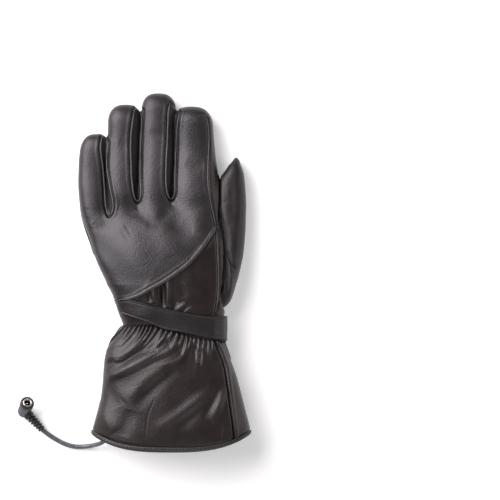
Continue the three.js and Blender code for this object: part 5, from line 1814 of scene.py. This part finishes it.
@dataclass
class WristFittings:
    """The strap round the wrist with its loop patch, and the clip tab."""

    hand: Sections
    cuff: CuffForm
    finishes: Finishes
    thickness: float = 2.3
    seat: float = 0.4
    palm_level: float = -61.0
    palm_half: float = 11.0
    palm_end: float = -20.7
    level: float = -50.0
    groove: float = 2.3
    patch_sides: Pair = (-41.0, 19.5)
    patch_ends: Pair = (-79.8, -60.5)
    clip_body: Triple = (6.2, 11.4, 3.6)
    clip_prong: Triple = (7.0, 2.0, 2.6)

    TOP_EDGE: Line = (
        (-56.0, -26.5), (-48.3, -26.8), (-36.0, -26.8), (-28.0, -24.8), (-19.0, -26.4), (-4.1, -31.3),
        (18.9, -36.8), (37.3, -40.5), (60.0, -41.2),
    )
    BOTTOM_EDGE: Line = (
        (-56.0, -31.0), (-48.3, -32.2), (-42.8, -35.0), (-13.3, -46.9), (0.5, -53.0), (16.1, -56.1),
        (32.2, -59.8), (48.0, -62.9), (60.0, -65.0),
    )

    def section(self, x: float, y: float) -> Tuple[float, float, float, float]:
        """How wide and high the wrist is at a plan place.

        Args:
            x: Across.
            y: Along.

        Returns:
            Its left, right, bottom and top there.
        """
        limit = float(wrist_line(x))
        if y >= limit:
            columns = (self.hand.left, self.hand.right, self.hand.bottom, self.hand.top)
            return tuple(float(np.interp(y, self.hand.y, column)) for column in columns)
        share = (limit - y) / (limit - float(self.cuff.hem_line(np.array([x]))[0]))
        return self.cuff.reach(share)

    def trunk(self, angle: float, y: float, grow: float) -> Array:
        """A point on the wrist's surface.

        Args:
            angle: Where around, from the thumb side over the back.
            y: How far along.
            grow: How far off the surface.

        Returns:
            The point.
        """
        across, up = (float(way) for way in rounded_square(angle))
        left, right = self.hand.left[0], self.hand.right[0]
        x = (left + right) / 2 + (right - left) / 2 * across
        x0, x1, z0, z1 = self.section(x, y)
        x = (x0 + x1) / 2 + ((x1 - x0) / 2 + grow) * across
        z = (z0 + z1) / 2 + ((z1 - z0) / 2 + grow) * up
        return np.array([x, y, z])

    def strap_rows(self) -> Tuple[Array, Array]:
        """The strap's lower and upper edge along its way, as angle and y."""
        top = smooth_line(self.TOP_EDGE)
        bottom = smooth_line(self.BOTTOM_EDGE)
        turns = (np.linspace(163, 20, 110), np.linspace(18.5, -62, 60), np.linspace(-63, -116, 70))
        x_edge = self.trunk(0.0, self.level, 0)[0]
        uppers, lowers = [], []
        for angle in np.radians(np.concatenate(turns)):
            x = self.trunk(angle, self.level, 0)[0]
            on_back = x_edge if angle < 0 else x
            high = np.interp(on_back, top[:, 0], top[:, 1])
            low = np.interp(on_back, bottom[:, 0], bottom[:, 1])
            if angle < 0:
                share = float(smoothstep(math.degrees(angle), 0, -55))
                high = high * (1 - share) + (self.palm_level + self.palm_half) * share
                low = low * (1 - share) + (self.palm_level - self.palm_half) * share
                from_end = (x - self.palm_end) / 7.0
                if from_end < 1:
                    rounding = math.sqrt(max(1 - (1 - max(from_end, 0.0)) ** 2, 0.0))
                    half = self.palm_half * (0.55 + 0.45 * rounding)
                    high, low = self.palm_level + half, self.palm_level - half
                if x < self.palm_end:
                    continue
            uppers.append((angle, high))
            lowers.append((angle, low))
        return np.array(uppers), np.array(lowers)

    def strap(self) -> None:
        """Makes the strap with folded edges and a row of stitches along each."""
        uppers, lowers = self.strap_rows()
        width = np.linspace(0, 1, 25)
        rings = []
        edge_lines: Tuple[List[Array], List[Array]] = ([], [])
        for step, ((angle, high), (_, low)) in enumerate(zip(uppers, lowers)):
            tucked = 0.3 + 0.7 * min(step / 14, 1.0)
            span = high - low
            outer = []
            for t in width:
                inset = min(t, 1 - t) * span
                profile = self.thickness * math.sin(min(inset / 1.1, 1) * math.pi / 2) ** 0.6
                profile += 0.55 * bell(inset - 1.0, 0.9) - 0.45 * bell(inset - self.groove, 0.5)
                wave = 0.25 * math.sin(angle * 7 + t * 2.0) + 0.15 * math.sin(angle * 17 + t)
                off = self.seat + tucked * max(profile, 0.05) + wave * math.sin(math.pi * t)
                outer.append(self.trunk(angle, low + span * t, off))
            inner = [self.trunk(angle, low + span * t, self.seat) for t in width[::-1][1:-1]]
            ring = np.array(outer + inner)
            ring[:, 2] = np.maximum(ring[:, 2], 0.04)
            rings.append(ring)
            for at_high, line in enumerate(edge_lines):
                t = abs(at_high - self.groove / span)
                line.append(self.trunk(angle, low + span * t, self.seat + self.thickness - 0.1))
        placed("wrist_strap_band", loft(rings), self.finishes.strap, "leather", "wrist_strap")
        stitches = bmesh.new()
        for line in edge_lines:
            places = np.array(line)
            places[:, 2] = np.maximum(places[:, 2], 0.3)
            Stitching(2.6, 1.8, 0.45).into(stitches, places, self.outwards(places))
        placed("strap_stitches", stitches, self.finishes.thread, "leather")

    @staticmethod
    def outwards(places: Array) -> Array:
        """Directions away from the wrist's middle line."""
        way = places - np.array([WRIST_MIDDLE, 0.0, 23.0])
        way[:, 1] = 0
        way[:, 0] *= 0.35
        return unit(way)

    def patch(self) -> None:
        """Makes the loop patch that the strap's end closes on."""
        edge = ((0.3, 0.0), (1.3, 0.0), (1.5, 0.6), (1.3, 1.4), (1.5, 2.2))
        rings = [self.patch_ring(lift, inset, 1.0) for lift, inset in edge]
        rings += [self.patch_ring(*edge[-1], share) for share in (0.75, 0.5, 0.25, 0.02)]
        placed("loop_pile_patch", loft(rings), self.finishes.loops, "loop", "loop_patch")

    def patch_ring(self, lift: float, inset: float, share: float) -> Array:
        """One ring of the loop patch, inset from its edge and then drawn in to a share of its size."""
        (left, right), (bottom, top) = self.patch_sides, self.patch_ends
        middle = np.array([(left + right) / 2, (top + bottom) / 2])
        points = self.frame_points(left + inset, right - inset, bottom + inset, top - inset)
        return np.array([self.under(*(middle + (np.array(p) - middle) * share), lift) for p in points])

    @staticmethod
    def frame_points(x0: float, x1: float, y0: float, y1: float) -> List[Plan]:
        """Points round a rectangle."""
        across, up = 30, 14
        points = [(x0 + (x1 - x0) * i / across, y0) for i in range(across)]
        points += [(x1, y0 + (y1 - y0) * i / up) for i in range(up)]
        points += [(x1 - (x1 - x0) * i / across, y1) for i in range(across)]
        points += [(x0, y1 - (y1 - y0) * i / up) for i in range(up)]
        return points

    def under(self, x: float, y: float, lift: float) -> Array:
        """A point under the wrist at a plan place.

        Args:
            x: Across.
            y: Along.
            lift: How far off the surface.

        Returns:
            The point.
        """
        x0, x1, z0, z1 = self.section(x, y)
        across = min(abs(x - (x0 + x1) / 2) / ((x1 - x0) / 2 + lift), 0.995)
        z = (z0 + z1) / 2 - ((z1 - z0) / 2 + lift) * (1 - across**3.0) ** (1 / 3.0)
        return np.array([x, y, max(z, 0.05)])

    def tab_and_clip(self) -> None:
        """Makes the clip's leather tab and the three-pronged clip."""
        run = smooth_line(((-32.2, -46.6), (-37.2, -57.6), (-43.2, -68.2)), 1.0)
        angles = np.linspace(math.pi + 0.05, 1.5 * math.pi, 60)
        found = []
        for x, y in run:
            points = np.array([self.trunk(angle, y, 1.0) for angle in angles])
            found.append(points[np.argmin(np.abs(points[:, 0] - x))])
        places = np.array(found)
        wide = tapered(len(places), 2.9, 2)
        bm = tube(places, self.outwards(places), wide, np.full(len(places), 0.85), 16)
        placed("clip_tab_leather", bm, self.finishes.leather, "leather", "clip_tab")
        self.clip()

    def clip(self) -> None:
        """Makes the clip: a loop with three prongs, bevelled."""
        low, high = (np.array(corner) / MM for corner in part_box("pairing_clip"))
        centre = (low + high) / 2 - PLAN_SHIFT
        turn = Matrix.Rotation(0.35, 4, "Z")
        bm = bmesh.new()
        place = Matrix.Translation(Vector((centre[0] + 3.0, centre[1], 4.2))) @ turn
        bmesh.ops.create_cube(bm, size=1, matrix=place @ Matrix.Diagonal((*self.clip_body, 1)))
        for share in (-0.36, 0, 0.36):
            spot = place @ Matrix.Translation((-6.0, share * self.clip_body[1], 0))
            bmesh.ops.create_cube(bm, size=1, matrix=spot @ Matrix.Diagonal((*self.clip_prong, 1)))
        edges = bm.edges[:]
        bmesh.ops.bevel(bm, geom=edges, offset=0.5, affect="EDGES", segments=3, profile=0.5, material=-1)
        placed("pairing_clip_moulding", bm, self.finishes.clip, "clip", "pairing_clip")


# Power lead


@dataclass
class PowerLead:
    """The cord out of the cuff, its ribbed strain relief and the plug with its socket."""

    finishes: Finishes
    diameter: float = 4.4
    foot: Triple = (-132.0, -131.6, 2.9)
    plug_axis: Triple = (0.2494, 0.449, 0.858)
    plug_length: float = 23.0
    plug_radius: float = 5.9
    collar_radius: float = 6.35
    ring_radius: float = 4.35
    bore_radius: float = 2.7
    ring_length: float = 9.0
    pin_radius: float = 0.85
    relief_wide: float = 4.7
    relief_narrow: float = 3.4
    ribs: int = 5

    ROUTE = (
        (-43.5, -142, 11), (-48, -148.5, 13.4), (-53.5, -154.8, 15.9), (-58.5, -159, 13.2),
        (-65, -161.6, 7.6), (-72, -163.3, 3.9), (-80, -164, 2.5), (-86.5, -163.5, 2.25),
        (-95.3, -160.7, 2.25), (-104.5, -155.6, 2.4), (-110.3, -151.6, 3), (-114.7, -147.9, 3.7),
    )

    def cord(self) -> Tuple[bpy.types.Object, Array]:
        """Makes the cord, and gives it with the path it follows."""
        path = to_frame(smooth_line(self.ROUTE, 1.6))
        curve = bpy.data.curves.new("power_cord", "CURVE")
        curve.dimensions = "3D"
        curve.bevel_depth = self.diameter / 2 * MM
        curve.bevel_resolution = 6
        curve.use_fill_caps = True
        spline = curve.splines.new("POLY")
        spline.points.add(len(path) - 1)
        for point, place in zip(spline.points, path):
            point.co = (*place, 1)
        spline.use_smooth = True
        piece = linked("power_cord", curve)
        finished(piece, (self.finishes.sheath_and_highlight,), "lead", "cord")
        return piece, path

    def turned(
        self, name: str, profile: Line, foot: Array, axis: Array, steps: int = 64
    ) -> bpy.types.Object:
        """Spins a profile of radius and height round an axis.

        Args:
            name: The piece's name.
            profile: Radius and height from the foot, from one end to the other.
            foot: Where the axis starts, in plan millimetres.
            axis: Its direction.
            steps: Segments round it.

        Returns:
            The piece.
        """
        bm = bmesh.new()
        verts = [bm.verts.new((radius, 0, height)) for radius, height in profile]
        edges = [bm.edges.new(pair) for pair in zip(verts[:-1], verts[1:])]
        bmesh.ops.spin(
            bm, geom=verts + edges, axis=(0, 0, 1), cent=(0, 0, 0), steps=steps, angle=2 * math.pi,
            use_merge=True,
        )
        welded(bm, 1e-4)
        turn = Vector((0, 0, 1)).rotation_difference(Vector(axis)).to_matrix().to_4x4()
        bmesh.ops.transform(bm, matrix=Matrix.Translation(Vector(foot)) @ turn, verts=bm.verts)
        lowest = 0.03
        for vert in bm.verts:
            vert.co.z = max(vert.co.z, lowest)
        into_frame(bm)
        return new_object(name, bm)

    def plug(self) -> List[bpy.types.Object]:
        """Makes the plug, its strain relief, ring and pin."""
        foot = np.array(self.foot)
        axis = np.array(self.plug_axis)
        axis /= np.linalg.norm(axis)
        length, r, collar = self.plug_length, self.plug_radius, self.collar_radius
        bore = self.ring_radius + 0.15
        floor_at = length + 0.5 - self.ring_length - 0.3
        body = [
            (0, -1.2), (r - 2.4, -1.2), (r - 1.2, -0.9), (r - 0.4, -0.1), (r, 1.2), (r, length - 9.8),
            (r + 0.1, length - 9.2), (collar - 0.1, length - 7.8), (collar, length - 7.2),
            (collar, length - 1.4), (collar - 0.3, length - 0.5), (collar - 1.0, length),
            (bore + 0.25, length), (bore, length - 0.3), (bore, floor_at), (0, floor_at),
        ]
        housing = self.turned("plug_body", body, foot, axis)
        face = foot + axis * length
        ring_foot = face + axis * (0.5 - self.ring_length)
        inner, outer, deep = self.bore_radius, self.ring_radius, self.ring_length
        ring = [
            (inner, 0), (outer, 0), (outer, deep - 0.5), (outer - 0.35, deep - 0.05), (inner + 0.5, deep),
            (inner, deep - 0.45), (inner, 0),
        ]
        socket = self.turned("socket_contact_ring", ring, ring_foot, axis)
        pin_foot = ring_foot - axis * 0.3
        p = self.pin_radius
        pin = [(0, -1.0), (p, -1.0), (p, deep - 3.2), (p * 0.75, deep - 2.4), (0, deep - 2.0)]
        contact = self.turned("socket_contact_pin", pin, pin_foot, axis, 32)
        end = np.array(self.ROUTE[-1], float)
        start = foot + axis * 3.6
        lean = (start - end) / np.linalg.norm(start - end)
        reach = float(np.linalg.norm(start - end)) - 0.3
        rib = (reach - r) / (self.ribs + 0.8)
        profile: List[Plan] = [(0, 0), (self.relief_narrow - 1.1, 0)]
        for i in range(self.ribs):
            wide = self.relief_narrow + (self.relief_wide - self.relief_narrow) * i / self.ribs
            at = i * rib
            narrow = wide * 0.68
            profile += [(wide - 0.25, at + 0.02), (wide, at + 0.2 * rib), (wide, at + 0.48 * rib)]
            profile += [(wide - 0.25, at + 0.64 * rib), (narrow, at + 0.7 * rib), (narrow, at + 0.94 * rib)]
        profile += [(self.relief_wide, self.ribs * rib), (self.relief_wide, reach - 1.0), (0, reach - 0.5)]
        relief = self.turned("strain_relief", profile, end + lean * 0.3, lean, 40)
        finished(housing, (self.finishes.rubber,), "lead", "plug_housing")
        finished(relief, (self.finishes.relief,), "lead")
        finished(socket, (self.finishes.nickel,), "nickel", "socket_ring")
        finished(contact, (self.finishes.nickel,), "nickel", "socket_pin")
        return [housing, relief, socket, contact]

    def outlet(self) -> None:
        """Makes the sewn sleeve inside the cuff that the cord comes out of."""
        start = np.array(self.ROUTE[0], float)
        away = start - np.array(self.ROUTE[1], float)
        away /= np.linalg.norm(away)
        line = np.array([start + away * (0.4 + 1.3 * i) for i in range(9)])
        line[:, 2] = np.minimum(line[:, 2], start[2] + 0.5)
        up = np.tile([0.0, 0.0, 1.0], (len(line), 1))
        wide = tapered(len(line), 5.2, 1)
        bm = tube(line - np.array([0, 0, 2.2]), up, wide, wide * 0.72, 20)
        placed("outlet_sleeve", bm, self.finishes.side, "side_leather", "cord_outlet")

    def build(self) -> None:
        """Makes the lead: its cord, plug and outlet sleeve."""
        piece, path = self.cord()
        ends = self.plug()
        self.outlet()


# Studio


@dataclass(frozen=True)
class Studio:
    """Camera straight overhead at the photograph's angle, pale floor and soft light."""

    middle: Plan = (78.7, 19.3)
    height: float = 1.8
    view_width: float = 0.460
    view_level: float = 0.025
    sensor: float = 36.0

    def camera(self) -> None:
        """Makes the camera."""
        data = bpy.data.cameras.new("overhead")
        data.sensor_width = self.sensor
        data.lens = self.sensor * (self.height - self.view_level) / self.view_width
        data.clip_start = 0.01
        made = linked("overhead", data)
        x, y = to_frame(np.array([*self.middle, 0.0]))[:2]
        made.location = (x, y, self.height)
        bpy.context.scene.camera = made

    def floor(self) -> None:
        """Makes the floor."""
        bm = bmesh.new()
        bmesh.ops.create_grid(bm, x_segments=1, y_segments=1, size=3.0)
        made = new_object("floor", bm, smooth=False)
        made.data.materials.append(Floor().material())

    def lamp(
        self, name: str, place: Sequence[float], size: Plan, power: float, tint: Sequence[float] = (1, 1, 1)
    ) -> None:
        """Makes one soft light aimed at the glove.

        Args:
            name: The light's name.
            place: Where it stands, in metres.
            size: Its width and height.
            power: In watts.
            tint: Its colour.
        """
        data = bpy.data.lights.new(name, "AREA")
        data.shape = "RECTANGLE"
        data.size, data.size_y = size
        data.energy = power
        data.color = tint
        made = linked(name, data)
        made.location = place
        way = Vector((0, 0, 0.02)) - Vector(place)
        made.rotation_euler = way.to_track_quat("-Z", "Y").to_euler()

    def light(self) -> None:
        """Makes the lights and the surroundings."""
        world = bpy.data.worlds.new("studio")
        world.use_nodes = True
        world.node_tree.nodes["Background"].inputs["Color"].default_value = (1, 1, 1, 1)
        world.node_tree.nodes["Background"].inputs["Strength"].default_value = 0.12
        bpy.context.scene.world = world
        self.lamp("window", (-0.8, 0.6, 0.88), (1.25, 1.25), 36, (1.0, 0.95, 1.0))
        self.lamp("near_fill", (0.5, -1.35, 1.1), (1.3, 1.3), 8)
        self.lamp("side_fill", (1.45, 0.2, 0.5), (0.9, 0.6), 4.5, (1.0, 0.94, 0.9))
        bpy.context.scene.view_settings.view_transform = "Standard"


def main() -> None:
    """Builds the glove in order: camera and cord first, then hand, cuff and fittings."""
    logging.basicConfig(level=logging.INFO, format="%(relativeCreated)d %(name)s %(message)s")
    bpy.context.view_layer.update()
    studio = Studio()
    studio.camera()
    finishes = Finishes()
    PowerLead(finishes).build()
    form = HandForm()
    shell = HandShell(form, finishes)
    shell.build()
    trim = SeamTrim(shell, finishes)
    trim.turned_edges()
    trim.welt()
    PalmPads(shell, finishes).build()
    cuff_form = CuffForm()
    cuff = Cuff(cuff_form, finishes)
    cuff.panels()
    cuff.hem()
    fittings = WristFittings(form.hand(), cuff_form, finishes)
    fittings.strap()
    fittings.patch()
    fittings.tab_and_clip()
    studio.floor()
    studio.light()


if __name__ == "__main__":
    main()
